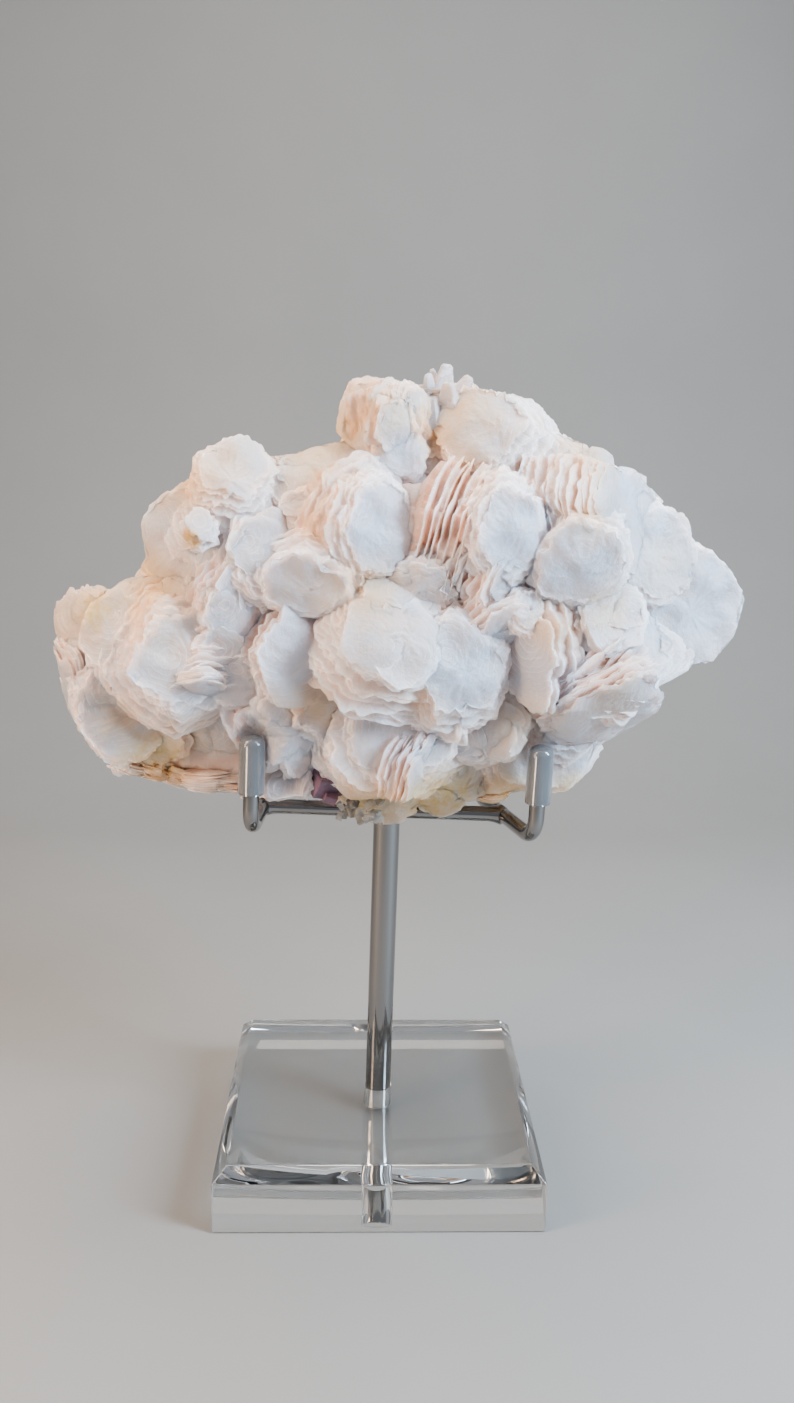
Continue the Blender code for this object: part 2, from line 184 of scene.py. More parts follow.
def noise_of(tree, place, scale, detail=4.0, roughness=0.55):
    """Noise over the object, with about scale cells to the metre."""
    texture = add_node(tree, "ShaderNodeTexNoise", Scale=scale, Detail=detail, Roughness=roughness)
    tree.links.new(place, texture.inputs["Vector"])
    return texture.outputs["Fac"]


def stored(tree, name):
    return add_node(tree, "ShaderNodeAttribute", attribute_name=name).outputs["Fac"]


def arithmetic(tree, operation, first, second):
    """One sum on a node's output and a number or another output."""
    made = add_node(tree, "ShaderNodeMath", operation=operation)
    tree.links.new(first, made.inputs[0])
    if isinstance(second, (int, float)):
        made.inputs[1].default_value = second
    else:
        tree.links.new(second, made.inputs[1])
    return made.outputs["Value"]


def own_place(tree):
    """The place in the piece's own frame, which all the noises are laid over."""
    return add_node(tree, "ShaderNodeTexCoord").outputs["Object"]


def relief(tree, shader, height, strength, depth):
    """Fine relief in the shading, which leaves the mesh as it is."""
    bump = add_node(tree, "ShaderNodeBump", Strength=strength, Distance=depth)
    tree.links.new(height, bump.inputs["Height"])
    tree.links.new(bump.outputs["Normal"], shader.inputs["Normal"])


def settle(shader, **values):
    """Sets the shader's sockets, each named with _ for a space."""
    for name, value in values.items():
        shader.inputs[name.replace("_", " ")].default_value = value


# %% [markdown]
# ## Floor and light
# A pale floor that curves up into a wall behind gives one even ground with no horizon line. Chrome shows
# whatever surrounds it, so the room is kept dim, with a soft panel at each side and one overhead: they draw
# the bright streaks on the wires, and the dim rest gives the dark bands between them. The panel on the right
# is cooler and stronger, as in the photograph, where the right flank of every rosette looks blue-white.

# %% Sweep the floor up into a backdrop
FLOOR_HALF = 1.6
FLOOR_FRONT = -1.4
WALL_AT = 0.62
SWEEP_RADIUS = 0.30
WALL_TOP = 1.5
FLOOR_LEVEL = -0.0003
SWEEP_STEPS = 16
FLOOR_SHADES = ((0.36, 0.35, 0.335, 1), (0.41, 0.40, 0.385, 1))


def floor_finish():
    material, shader, tree = principled("pale_floor")
    mottle = noise_of(tree, own_place(tree), 9.0, 4.0, 0.6)
    tree.links.new(mixed(tree, mottle, *FLOOR_SHADES), shader.inputs["Base Color"])
    settle(shader, Roughness=0.65)
    return material


def sweep_profile():
    """Floor, quarter turn and wall, as points (y, z)."""
    points = [(FLOOR_FRONT, FLOOR_LEVEL)]
    for step in range(SWEEP_STEPS + 1):
        turn = math.pi / 2 * step / SWEEP_STEPS
        y = WALL_AT - SWEEP_RADIUS + SWEEP_RADIUS * math.sin(turn)
        points.append((y, FLOOR_LEVEL + SWEEP_RADIUS * (1 - math.cos(turn))))
    points.append((WALL_AT, WALL_TOP))
    return points


def build_floor():
    sweep = sweep_profile()
    verts = [(x, y, z) for y, z in sweep for x in (-FLOOR_HALF, FLOOR_HALF)]
    faces = [(2 * i, 2 * i + 1, 2 * i + 3, 2 * i + 2) for i in range(len(sweep) - 1)]
    mesh = bpy.data.meshes.new("floor")
    mesh.from_pydata(verts, [], faces)
    mesh.shade_smooth()
    mesh.materials.append(floor_finish())
    floor = bpy.data.objects.new("floor", mesh)
    bpy.context.scene.collection.objects.link(floor)
    return floor


floor = build_floor()
print("floor: one sweep of", len(floor.data.polygons), "faces")

# %% Set the room and its panels
ROOM_COLOUR = (0.80, 0.84, 0.92, 1)
ROOM_STRENGTH = 0.33
SUBJECT = point(5, -20, 175)

# Panels as (name, place in mm, width and height in m, watts, colour)
PANELS = (
    ("right_panel", (460, -260, 430), 0.18, 0.36, 6.0, (0.62, 0.81, 1.0)),
    ("left_panel", (-380, -220, 330), 0.14, 0.50, 2.0, (1.0, 0.72, 0.50)),
    ("overhead_panel", (0, 20, 800), 0.50, 0.50, 3.9, (1.0, 0.91, 0.82)),
)


def add_panel(name, place, width, height, watts, colour):
    data = bpy.data.lights.new(name, "AREA")
    data.shape = "RECTANGLE"
    data.size = width
    data.size_y = height
    data.energy = watts
    data.color = colour
    panel = bpy.data.objects.new(name, data)
    panel.location = point(*place)
    panel.rotation_euler = (SUBJECT - panel.location).to_track_quat("-Z", "Y").to_euler()
    bpy.context.scene.collection.objects.link(panel)
    return panel


room = bpy.data.worlds.new("room")
bpy.context.scene.world = room
room.use_nodes = True
room.node_tree.nodes["Background"].inputs["Color"].default_value = ROOM_COLOUR
room.node_tree.nodes["Background"].inputs["Strength"].default_value = ROOM_STRENGTH
bpy.context.scene.view_settings.look = "AgX - Medium High Contrast"
for panel in PANELS:
    add_panel(*panel)
print("light: a dim room and", len(PANELS), "panels")

# %% [markdown]
# Light that enters the clear block is reflected inside it several times before it comes out. With too few
# reflections allowed, those paths end early and the bevels go black, so the limits are raised a little.

# %% Let light bounce inside the block
paths = bpy.context.scene.cycles
paths.max_bounces = 20
paths.glossy_bounces = 14
paths.transmission_bounces = 18

# %% [markdown]
# ## Chrome
# The wires and the post are bright chrome plate. A plain metal shader with a low roughness does most of the
# work. Handling leaves fine scratches and slight haze, so a stretched noise varies the roughness a little.

# %% Mix the chrome
CHROME_COLOUR = (0.33, 0.325, 0.32, 1)


def chrome_finish():
    material, shader, tree = principled("bright_chrome")
    place = own_place(tree)
    haze = noise_of(tree, place, 160.0, 5.0, 0.65)
    tree.links.new(scaled(tree, haze, 0.0, 1.0, 0.045, 0.13), shader.inputs["Roughness"])
    relief(tree, shader, noise_of(tree, place, 900.0, 3.0, 0.5), 0.012, 0.0004)
    settle(shader, Base_Color=CHROME_COLOUR, Metallic=1.0)
    return material


chrome = chrome_finish()
print("chrome mixed")

# %% [markdown]
# ## The clear block
# The base is a square of cast acrylic with its upper edges bevelled at 45 degrees and polished. It is made
# as a plain solid with that bevel, then every edge gets a hair of rounding, because polished edges catch
# thin highlights that a perfectly sharp one can't show. The post stands in a blind hole. The thin layer of
# air in that hole is kept, since it turns the hole's wall into the silvery band seen through the front.

# %% Model the block and its hole
BLOCK_SIDE = 100.0
BLOCK_HEIGHT = 20.0
BLOCK_BEVEL = 4.2
EDGE_ROUNDING = 0.35
HOLE_RADIUS = 4.5
HOLE_DEPTH = 15.0
POST_LEAN = math.radians(1.0)


def acrylic_finish():
    material, shader, tree = principled("clear_acrylic")
    dust = noise_of(tree, own_place(tree), 520.0, 6.0, 0.75)
    tree.links.new(scaled(tree, dust, 0.62, 0.80, 0.0, 0.16), shader.inputs["Roughness"])
    settle(shader, Base_Color=(0.985, 0.99, 0.985, 1), Transmission_Weight=1.0, IOR=1.49)
    return material


def bevelled_block():
    half = BLOCK_SIDE / 2
    levels = ((half, 0), (half, BLOCK_HEIGHT - BLOCK_BEVEL), (half - BLOCK_BEVEL, BLOCK_HEIGHT))
    bm = bmesh.new()
    rings = []
    for reach, height in levels:
        corners = ((-reach, -reach), (reach, -reach), (reach, reach), (-reach, reach))
        rings.append([bm.verts.new(point(x, y, height)) for x, y in corners])
    for lower, upper in zip(rings, rings[1:]):
        for i in range(4):
            j = (i + 1) % 4
            bm.faces.new((lower[i], lower[j], upper[j], upper[i]))
    bm.faces.new(rings[0][::-1])
    bm.faces.new(rings[-1])
    bmesh.ops.bevel(bm, geom=bm.edges[:], offset=EDGE_ROUNDING * MM, segments=3, profile=0.5, affect="EDGES")
    return bm


def cylinder(radius, low, high, sides):
    """A round cutter or filler about Z, between two heights in millimetres."""
    bm = bmesh.new()
    bmesh.ops.create_cone(
        bm, cap_ends=True, segments=sides, radius1=radius * MM, radius2=radius * MM, depth=(high - low) * MM,
        matrix=Matrix.Translation(point(0, 0, (high + low) / 2)))
    return bm


def to_mesh(name, bm):
    mesh = bpy.data.meshes.new(name)
    bm.to_mesh(mesh)
    bm.free()
    return mesh


def bake_modifiers(piece):
    """Keeps the evaluated shape, so that no modifier is left on the piece."""
    evaluated = piece.evaluated_get(bpy.context.evaluated_depsgraph_get())
    shape = bpy.data.meshes.new_from_object(evaluated)
    piece.modifiers.clear()
    piece.data = shape


def build_block():
    block = add_piece("acrylic_block", to_mesh("acrylic_block", bevelled_block()), acrylic_finish(),
                      ["base_block"])
    drill = bpy.data.objects.new("drill", to_mesh("drill", cylinder(HOLE_RADIUS, -HOLE_DEPTH, 12, 64)))
    bpy.context.scene.collection.objects.link(drill)
    drill.location = point(0, 0, BLOCK_HEIGHT)
    drill.rotation_euler.y = POST_LEAN
    cut = block.modifiers.new("hole", "BOOLEAN")
    cut.operation = "DIFFERENCE"
    cut.object = drill
    bake_modifiers(block)
    bpy.data.objects.remove(drill)
    shade_round(block.data, 25)
    return block


block = build_block()
print("block:", len(block.data.polygons), "faces")

# %% [markdown]
# ## The post and the wire cradle
# A round rod carries a crossbar, and two wires run front to back at its ends. Each is bent up into a short
# prong in front and a tall support behind. The wires are tubes swept along their centre lines, with round
# bends. Small fillets of braze fill the corners where one wire meets another, as on a real soldered stand.

# %% Sweep the wires
POST_RADIUS = 4.2
WIRE_RADIUS = 2.4
CRADLE_HEIGHT = 116.3
CRADLE_TILT = math.radians(1.8)
BEND_RADIUS = 7.0
LEFT_BAR = 39.4
RIGHT_BAR = 37.0
LEFT_REACH = (-41.2, -25.0)
RIGHT_REACH = (44.0, -24.0)
BACK_REACH = 21.0
PRONG_HEIGHT = 27.3
SUPPORT_HEIGHT = 72.0
SUPPORT_LEAN = math.radians(2.0)
BEND_STEPS = 14

CRADLE_ACROSS = math.tan(POST_LEAN) * (CRADLE_HEIGHT - BLOCK_HEIGHT)
CRADLE = Matrix.Translation(point(CRADLE_ACROSS, 0, CRADLE_HEIGHT)) @ Matrix.Rotation(CRADLE_TILT, 4, "Y")


def tube_rings(points, radii, sides):
    """Rings of a tube along points, one radius for each, turned with the path so that it never twists."""
    ways = []
    for i in range(len(points)):
        before = points[i] - points[i - 1] if i > 0 else points[1] - points[0]
        after = points[i + 1] - points[i] if i + 1 < len(points) else before
        ways.append((before.normalized() + after.normalized()).normalized())
    side = ways[0].orthogonal().normalized()
    rings = []
    for i, (centre, radius) in enumerate(zip(points, radii)):
        if i > 0:
            side = ways[i - 1].rotation_difference(ways[i]) @ side
        up = ways[i].cross(side)
        angles = [math.tau * k / sides for k in range(sides)]
        rings.append([centre + (side * math.cos(a) + up * math.sin(a)) * radius * MM for a in angles])
    return rings


def rings_mesh(name, rings):
    """A closed skin over rings, with a flat cap at each end."""
    bm = bmesh.new()
    loops = [[bm.verts.new(place) for place in ring] for ring in rings]
    for lower, upper in zip(loops, loops[1:]):
        for i in range(len(lower)):
            j = (i + 1) % len(lower)
            bm.faces.new((lower[i], lower[j], upper[j], upper[i]))
    bm.faces.new(loops[0][::-1])
    bm.faces.new(loops[-1])
    bmesh.ops.recalc_face_normals(bm, faces=bm.faces)
    return to_mesh(name, bm)


def bend(before, corner, after):
    """Points of a round bend at corner, between the points before and after it."""
    inward = (before - corner).normalized()
    outward = (after - corner).normalized()
    half = inward.angle(outward) / 2
    reach = BEND_RADIUS * MM / math.tan(half)
    centre = corner + (inward + outward).normalized() * (BEND_RADIUS * MM / math.sin(half))
    start = corner + inward * reach - centre
    turn = start.rotation_difference(corner + outward * reach - centre)
    made = []
    for i in range(BEND_STEPS + 1):
        part = turn.copy()
        part.angle = turn.angle * i / BEND_STEPS
        made.append(centre + part @ start)
    return made


def arm_corners(bar_end, reach):
    """The bends of one arm, from the tip of its prong to the tip of its support, in world metres."""
    front = point(reach[0], reach[1], 0)
    away = (point(bar_end, 0, 0) - front).normalized()
    back = front + away * ((BACK_REACH - reach[1]) * MM / away.y)
    rise = Matrix.Rotation(-SUPPORT_LEAN, 3, "X") @ point(0, 0, SUPPORT_HEIGHT)
    return [CRADLE @ corner for corner in (front + point(0, 0, PRONG_HEIGHT), front, back, back + rise)]


def domed(points, radius, dome, dome_steps=4):
    """Points and radii of a bar whose two ends are rounded over the length dome."""
    first, last = (points[0] - points[1]).normalized(), (points[-1] - points[-2]).normalized()
    path, radii = list(points), [radius] * len(points)
    for step in range(1, dome_steps + 1):
        turn = math.pi / 2 * step / dome_steps
        ahead = dome * math.sin(turn) * MM
        narrow = max(radius - dome * (1 - math.cos(turn)), 0.05)
        path.insert(0, points[0] + first * ahead)
        radii.insert(0, narrow)
        path.append(points[-1] + last * ahead)
        radii.append(narrow)
    return path, radii


WIRE_SIDES = 40
WIRE_DOME = 0.7
arms = {"left": arm_corners(-LEFT_BAR, LEFT_REACH), "right": arm_corners(RIGHT_BAR, RIGHT_REACH)}
for hand, (prong_tip, front, back, support_tip) in arms.items():
    path = [prong_tip, *bend(prong_tip, front, back), *bend(front, back, support_tip), support_tip]
    mesh = rings_mesh(f"{hand}_wire", tube_rings(*domed(path, WIRE_RADIUS, WIRE_DOME), WIRE_SIDES))
    shade_round(mesh)
    add_piece(f"{hand}_wire", mesh, chrome, [f"{hand}_arm"])
bar_ends = [CRADLE @ point(-LEFT_BAR, 0, 0), CRADLE @ point(RIGHT_BAR, 0, 0)]
bar_mesh = rings_mesh("cross_wire", tube_rings(bar_ends, [WIRE_RADIUS] * 2, WIRE_SIDES))
shade_round(bar_mesh)
add_piece("cross_wire", bar_mesh, chrome, ["crossbar"])
print("cradle: two bent wires and a crossbar")

# %% Stand the post in its hole
POST_SIDES = 64
POST_TURN = Matrix.Translation(point(0, 0, BLOCK_HEIGHT)) @ Matrix.Rotation(POST_LEAN, 4, "Y")
post_top = CRADLE_HEIGHT - BLOCK_HEIGHT - 1.2
post_path = [POST_TURN @ point(0, 0, height) for height in (0.3 - HOLE_DEPTH, 0, post_top - 0.6, post_top)]
post_radii = (POST_RADIUS, POST_RADIUS, POST_RADIUS, POST_RADIUS - 0.5)
post_mesh = rings_mesh("chrome_post", tube_rings(post_path, post_radii, POST_SIDES))
shade_round(post_mesh)
add_piece("chrome_post", post_mesh, chrome, ["post"])
print("post: from", round(post_path[0].z, 4), "to", round(post_path[-1].z, 4))

# %% Fill the soldered corners
FILLET_SIDES = 32


def fillet(name, foot, way, radii, lengths):
    """A flared collar along way, which runs smoothly from one wire into another."""
    path = [foot + way * length * MM for length in lengths]
    mesh = rings_mesh(name, tube_rings(path, radii, FILLET_SIDES))
    shade_round(mesh, 60)
    add_piece(name, mesh, chrome)


bar_way = (bar_ends[1] - bar_ends[0]).normalized()
up_way = (POST_TURN @ point(0, 0, 1) - POST_TURN @ point(0, 0, 0)).normalized()
post_foot = POST_TURN @ point(0, 0, post_top - 3.4)
fillet("post_braze", post_foot, up_way, (4.25, 4.4, 4.1, 3.3, 2.2), (0, 1.2, 2.6, 3.8, 4.8))
BAR_BRAZE = (2.2, 3.4, 3.0, 2.65, 2.42), (-1.4, 0.6, 1.8, 3.0, 4.6)
fillet("left_braze", bar_ends[0], bar_way, *BAR_BRAZE)
fillet("right_braze", bar_ends[1], -bar_way, *BAR_BRAZE)
print("braze: three fillets")

# %% [markdown]
# ## The soft clear caps
# Each wire end wears a cap of clear vinyl, which keeps the metal off the crystal. The vinyl grips the wire
# with no air between, so it works as a lens and the chrome seems to fill the whole cap. That only comes out
# right when the cap is one solid skin with the wire inside it, so no bore is modelled.

# %% Turn the caps
SLEEVE_RADIUS = 3.9
SLEEVE_LENGTH = 18.0
SLEEVE_CROWN = 2.2
SLEEVE_SIDES = 48


def vinyl_finish():
    material, shader, tree = principled("clear_vinyl")
    relief(tree, shader, noise_of(tree, own_place(tree), 420.0, 3.0, 0.5), 0.05, 0.0003)
    settle(shader, Base_Color=(0.80, 0.85, 0.90, 1), Transmission_Weight=0.80, Roughness=0.10, IOR=1.50)
    return material


vinyl = vinyl_finish()
CAP_PROFILE = [(SLEEVE_RADIUS - 0.5, 0.0), (SLEEVE_RADIUS - 0.15, 0.12), (SLEEVE_RADIUS, 0.5)]
CAP_PROFILE += [(SLEEVE_RADIUS, SLEEVE_LENGTH - SLEEVE_CROWN * 1.5)]
for step in range(1, 8):
    turn = math.pi / 2 * step / 7.5
    CAP_PROFILE.append((
        SLEEVE_RADIUS * math.cos(turn) ** 0.7,
        SLEEVE_LENGTH - SLEEVE_CROWN * 1.5 * (1 - math.sin(turn)),
    ))
for hand, (prong_tip, front, back, support_tip) in arms.items():
    for end, tip, foot in (("prong", prong_tip, front), ("support", support_tip, back)):
        way = (tip - foot).normalized()
        skirt = tip + way * (SLEEVE_CROWN - SLEEVE_LENGTH) * MM
        path = [skirt + way * height * MM for _, height in CAP_PROFILE]
        mesh = rings_mesh("cap", tube_rings(path, [radius for radius, _ in CAP_PROFILE], SLEEVE_SIDES))
        shade_round(mesh, 50)
        add_piece(f"{hand}_{end}_cap", mesh, vinyl, [f"{hand}_{end}_sleeve"])
print("caps: four")

# %% [markdown]
# ## Calcite
# The crystal is pale and cloudy. Light goes in, scatters for a few millimetres and comes out warmer, so the
# shader scatters under the surface, with red reaching farthest. Six values are stored on the mesh while it
# is built. Gap and rim say how deep a point lies between plates and how near a rim it is: gaps get a painted
# pinkish brown shade and rims a painted white highlight. Layer counts the thin layers of growth, which show as
# faint lines, with painted shade at the foot of each step and a painted highlight on its lip. Warm, cool light
# and stain come from patches: peach that is partly the crystal's own tint and partly painted warm light and
# shade, ice blue that is painted cool light, and ochre stains. Noise breaks them all up.

# %% Mix the calcite
# Highlight white and shade brown are painted light, as are the cool light blue and part of the peach; ochre is
# a real stain, and the rest are the crystal's own tints.
HIGHLIGHT_WHITE = (0.96, 0.95, 0.95, 1)
WHITE = (0.79, 0.725, 0.71, 1)
BLUE_WHITE = (0.63, 0.66, 0.73, 1)
SHELL_PINK = (0.80, 0.655, 0.61, 1)
SHADE_BROWN = (0.78, 0.55, 0.46, 1)
PEACH_TINT_AND_PAINTED_LIGHT = (0.80, 0.57, 0.36, 1)
COOL_LIGHT_BLUE = (0.56, 0.65, 0.80, 1)
OCHRE = (0.72, 0.52, 0.24, 1)


def growth_lines(tree, place):
    """A ramp from 0 to 1 across every thin layer of growth. The layers were counted on the mesh."""
    wander = arithmetic(tree, "MULTIPLY", noise_of(tree, place, 75.0, 3.0), 3.2)
    fine = arithmetic(tree, "MULTIPLY", noise_of(tree, place, 520.0, 3.0), 0.55)
    layer = arithmetic(tree, "ADD", stored(tree, "layer"), arithmetic(tree, "ADD", wander, fine))
    return arithmetic(tree, "FRACT", layer, 0.0)


def calcite_finish():
    material, shader, tree = principled("pale_calcite")
    place = own_place(tree)
    clouds = noise_of(tree, place, 55.0)
    grain = noise_of(tree, place, 420.0, 6.0, 0.6)
    blotch = noise_of(tree, place, 130.0, 5.0, 0.6)
    colour = mixed(tree, scaled(tree, clouds, 0.40, 0.60), BLUE_WHITE, WHITE)
    colour = mixed(tree, scaled(tree, blotch, 0.38, 0.68, 0.0, 0.75), colour, SHELL_PINK)
    # Painted highlight: rims and the face just inside them turn highlight white.
    bright = product(tree, stored(tree, "rim"), scaled(tree, grain, 0.2, 0.6, 0.4, 1.0))
    colour = mixed(tree, bright, colour, HIGHLIGHT_WHITE)
    ramp = growth_lines(tree, place)
    shown = scaled(tree, noise_of(tree, place, 95.0, 3.0), 0.44, 0.60)
    # Painted shade at the foot of each growth step and a painted highlight on its lip; the steps themselves
    # are real relief, from the bump below.
    colour = mixed(tree, product(tree, scaled(tree, ramp, 0.0, 0.34, 0.55, 0.0), shown), colour, SHADE_BROWN)
    colour = mixed(tree, product(tree, scaled(tree, ramp, 0.72, 1.0, 0.0, 0.7), shown), colour, HIGHLIGHT_WHITE)
    # Peach: partly the crystal's own tint, partly painted warm light on upper and left faces and painted shade
    # in sheltered places.
    warm = product(tree, stored(tree, "warm"), scaled(tree, blotch, 0.25, 0.6, 0.6, 1.0))
    colour = mixed(tree, warm, colour, PEACH_TINT_AND_PAINTED_LIGHT)
    # Painted cool light: the crown faces turn a little blue, as if lit from the right.
    cool = product(tree, stored(tree, "cool"), scaled(tree, clouds, 0.3, 0.6, 0.4, 1.0))
    colour = mixed(tree, cool, colour, COOL_LIGHT_BLUE)
    stain = product(tree, stored(tree, "stain"), scaled(tree, grain, 0.30, 0.62, 0.25, 1.0))
    colour = mixed(tree, stain, colour, OCHRE)
    # Painted shade: the deeper a point lies between plates, the more it turns shade brown.
    colour = mixed(tree, stored(tree, "gap"), colour, SHADE_BROWN)
    tree.links.new(colour, shader.inputs["Base Color"])
    tree.links.new(scaled(tree, grain, 0.3, 0.7, 0.26, 0.52), shader.inputs["Roughness"])
    height = arithmetic(tree, "MULTIPLY", product(tree, ramp, shown), 0.8)
    height = arithmetic(tree, "ADD", noise_of(tree, place, 700.0, 5.0, 0.6), height)
    relief(tree, shader, height, 0.65, 0.0007)
    shader.subsurface_method = "BURLEY"
    settle(shader, Subsurface_Weight=0.8, Subsurface_Radius=(1.0, 0.72, 0.58), Subsurface_Scale=0.003,
           IOR=1.52)
    return material


calcite = calcite_finish()
print("calcite mixed")

# %% [markdown]
# ## How one rosette is built
# A rosette could be many loose discs, but then light would be lost between overlapping skins. Here it is
# one closed skin: a run of rings from the crown to the root. Each plate has a thin rim, and a neck behind it
# makes the gap. Rims get ragged outlines from random numbers, and necks vary, so that plates part and merge.
# The front plates step up to the crown and lean together to one side, so their rims show on the other side.
# The crown is a bow of flat facets with low crescent steps, where thin layers end. A fan opens the plates
# like the pages of a book. Plates stop where they would pass the specimen's outline in the photograph.

# %% Describe the kinds of rosette
from collections import namedtuple

Kind = namedtuple("Kind", "pitch rim neck bow crown steps flare scallop")
KINDS = {
    "dome": Kind(0.85, 0.0, 1.1, bow=0.24, crown=0.46, steps=12, flare=0.50, scallop=0.020),
    "disc": Kind(0.80, 0.0, 1.0, bow=0.13, crown=0.24, steps=6, flare=0.55, scallop=0.020),
    "shell": Kind(1.00, 0.0, 1.3, bow=0.22, crown=0.42, steps=8, flare=0.50, scallop=0.045),
    "comb": Kind(1.25, 0.38, 2.4, bow=0.10, crown=0.18, steps=3, flare=0.35, scallop=0.020),
    "blades": Kind(2.40, 0.50, 5.5, bow=0.03, crown=0.06, steps=1, flare=0.04, scallop=0.006),
    "petals": Kind(1.90, 0.80, 1.8, bow=0.18, crown=0.40, steps=4, flare=0.45, scallop=0.060),
    "fans": Kind(1.70, 0.45, 4.5, bow=0.10, crown=0.10, steps=2, flare=0.10, scallop=0.030),
    "leaves": Kind(3.40, 1.10, 3.6, bow=0.16, crown=0.14, steps=1, flare=0.06, scallop=0.010),
    "plate": Kind(0.70, 0.0, 0.6, bow=0.22, crown=0.08, steps=1, flare=0.30, scallop=0.040),
}

# How much wider the rosettes grow than the room they have, so that they cut into each other
CROWDING = 1.16

Rosette = namedtuple("Rosette", "name kind centre turn tilt radius depth width shed fan fan_way")


def rosette(name, kind, centre, turn, tilt, radius, depth, width=1.0, shed=-60, fan=0.0, fan_way=90):
    """Turn and tilt, in degrees, say how far the crown faces to the right and up. Width is the ratio of an
    oval's width to its height. Shed is the side on which the rims show, as an angle on the crown's face, with
    0 to the right and 90 up. Fan is how far the plates spread towards fan_way, from 0 to 0.9."""
    centre = np.array(centre, float)
    return Rosette(name, kind, centre, turn, tilt, radius * CROWDING, depth, width, shed, fan, fan_way)


def facing(turn, tilt):
    """Three unit vectors: to the rosette's right, up its face, and out of it."""
    turn, tilt = math.radians(turn), math.radians(tilt)
    right = np.array((math.cos(turn), math.sin(turn), 0.0))
    out = np.array((math.sin(turn) * math.cos(tilt), -math.cos(turn) * math.cos(tilt), math.sin(tilt)))
    return right, np.cross(out, right), out


def way_of(degrees):
    return np.array((math.cos(math.radians(degrees)), math.sin(math.radians(degrees))))


# %% Trace the specimen's outline
# The outline as points (x, z) in millimetres, seen from the front
BODY_OUTLINE = (
    (-86, 128), (-62, 121), (-42, 120), (-26, 123), (-17, 119), (-6, 118), (16, 118), (34, 119),
    (48, 122), (61, 128), (70, 140), (82, 154), (88, 162), (102, 166), (109, 181), (102, 194),
    (90, 208), (78, 221), (60, 230), (44, 240), (22, 250), (6, 249), (-7, 244), (-15, 230),
    (-34, 228), (-57, 221), (-70, 206), (-73, 193), (-88, 184), (-95, 169), (-94, 147),
)
BODY_MIDDLE = (0, 180)

# %% Draw ragged rims
MOST_STEPS = 120
FEWEST_STEPS = 18


def smooth_noise(draw, count, knots):
    """Random values round a circle, smoothly joined between a few knots."""
    values = draw.normal(size=knots)
    spots = np.arange(count) * knots / count
    low = spots.astype(int)
    part = (1 - np.cos(np.pi * (spots - low))) / 2
    return values[low % knots] * (1 - part) + values[(low + 1) % knots] * part


def rim_outline(draw, count, radius, shape, scallop):
    """Radius at each step round a plate: the stack's own shape, lobes, scallops, fine teeth and notches."""
    angles = np.arange(count) * math.tau / count
    lobes = smooth_noise(draw, count, 6) * 0.038 * radius
    arches = np.abs(np.sin(angles * draw.integers(4, 9) + draw.uniform(0, math.pi))) ** 0.7 - 0.6
    teeth = smooth_noise(draw, count, max(count // 2, 6)) * 0.42 + draw.normal(size=count) * 0.22
    outline = radius * shape + lobes + arches * scallop * radius + teeth
    for _ in range(draw.integers(3, 8)):
        middle, reach = draw.integers(0, count), draw.integers(2, 6)
        bite = draw.uniform(0.4, 2.2) * min(radius / 12, 1.0)
        for step in range(-reach, reach + 1):
            outline[(middle + step) % count] -= bite * (1 - abs(step) / (reach + 1))
    return outline


# %% Stack the plates of one rosette
FACE_RINGS = (0.13, 0.26, 0.38, 0.49, 0.59, 0.68, 0.76, 0.83, 0.89, 0.94, 0.98)
FEW_FACE_RINGS = (0.22, 0.44, 0.62, 0.78, 0.90, 0.97)
SMALL_RADIUS = 9.0
PLATED_SHARE = 0.66
RIM_SLOPE = 0.12
STEP_HEIGHT = 0.58
STEP_SIZE = 2.9
FACET_COUNT = 6
FACET_SOFTNESS = 0.45
LINES_PER_MM = 0.55
SIDE_LINES_PER_MM = 1.5


def facet_touches(draw, radius):
    """Places where the flat facets of a crown touch its bow: one near the middle and some round it."""
    touches = [way_of(draw.uniform(0, 360)) * draw.uniform(0, 0.25)]
    for index in range(FACET_COUNT):
        angle = (index + draw.uniform(-0.4, 0.4)) * 360 / FACET_COUNT
        touches.append(way_of(angle) * draw.uniform(0.5, 0.9))
    return np.array(touches) * radius


def faceted_bow(touches, flat, bow, radius):
    """How far a bowed crown of flat facets lies below its top. The facets meet in softened edges."""
    heights = bow / radius * ((touches ** 2).sum(axis=1)[:, None] - 2 * touches @ flat)
    lowest = heights.min(axis=0)
    return lowest - FACET_SOFTNESS * np.log(np.exp((lowest - heights) / FACET_SOFTNESS).sum(axis=0))


def crown_steps(flat, start, seed):
    """Low crescent steps over a crown, round a starting point, where thin layers of crystal end."""
    heights = []
    for (x, y), away in zip(flat.T, np.linalg.norm(flat - start[:, None], axis=0)):
        slow = noise.noise(Vector((x / 7.5 + seed, y / 7.5, seed * 0.7)))
        ragged = noise.noise(Vector((x / 1.5, y / 1.5 + seed, 0.0)))
        level = away / STEP_SIZE + slow * 2.2 + ragged * 0.08
        part = level - math.floor(level)
        heights.append(part - min(part * 2.4, 1.0) + slow * 2.4)
    return np.array(heights) * STEP_HEIGHT


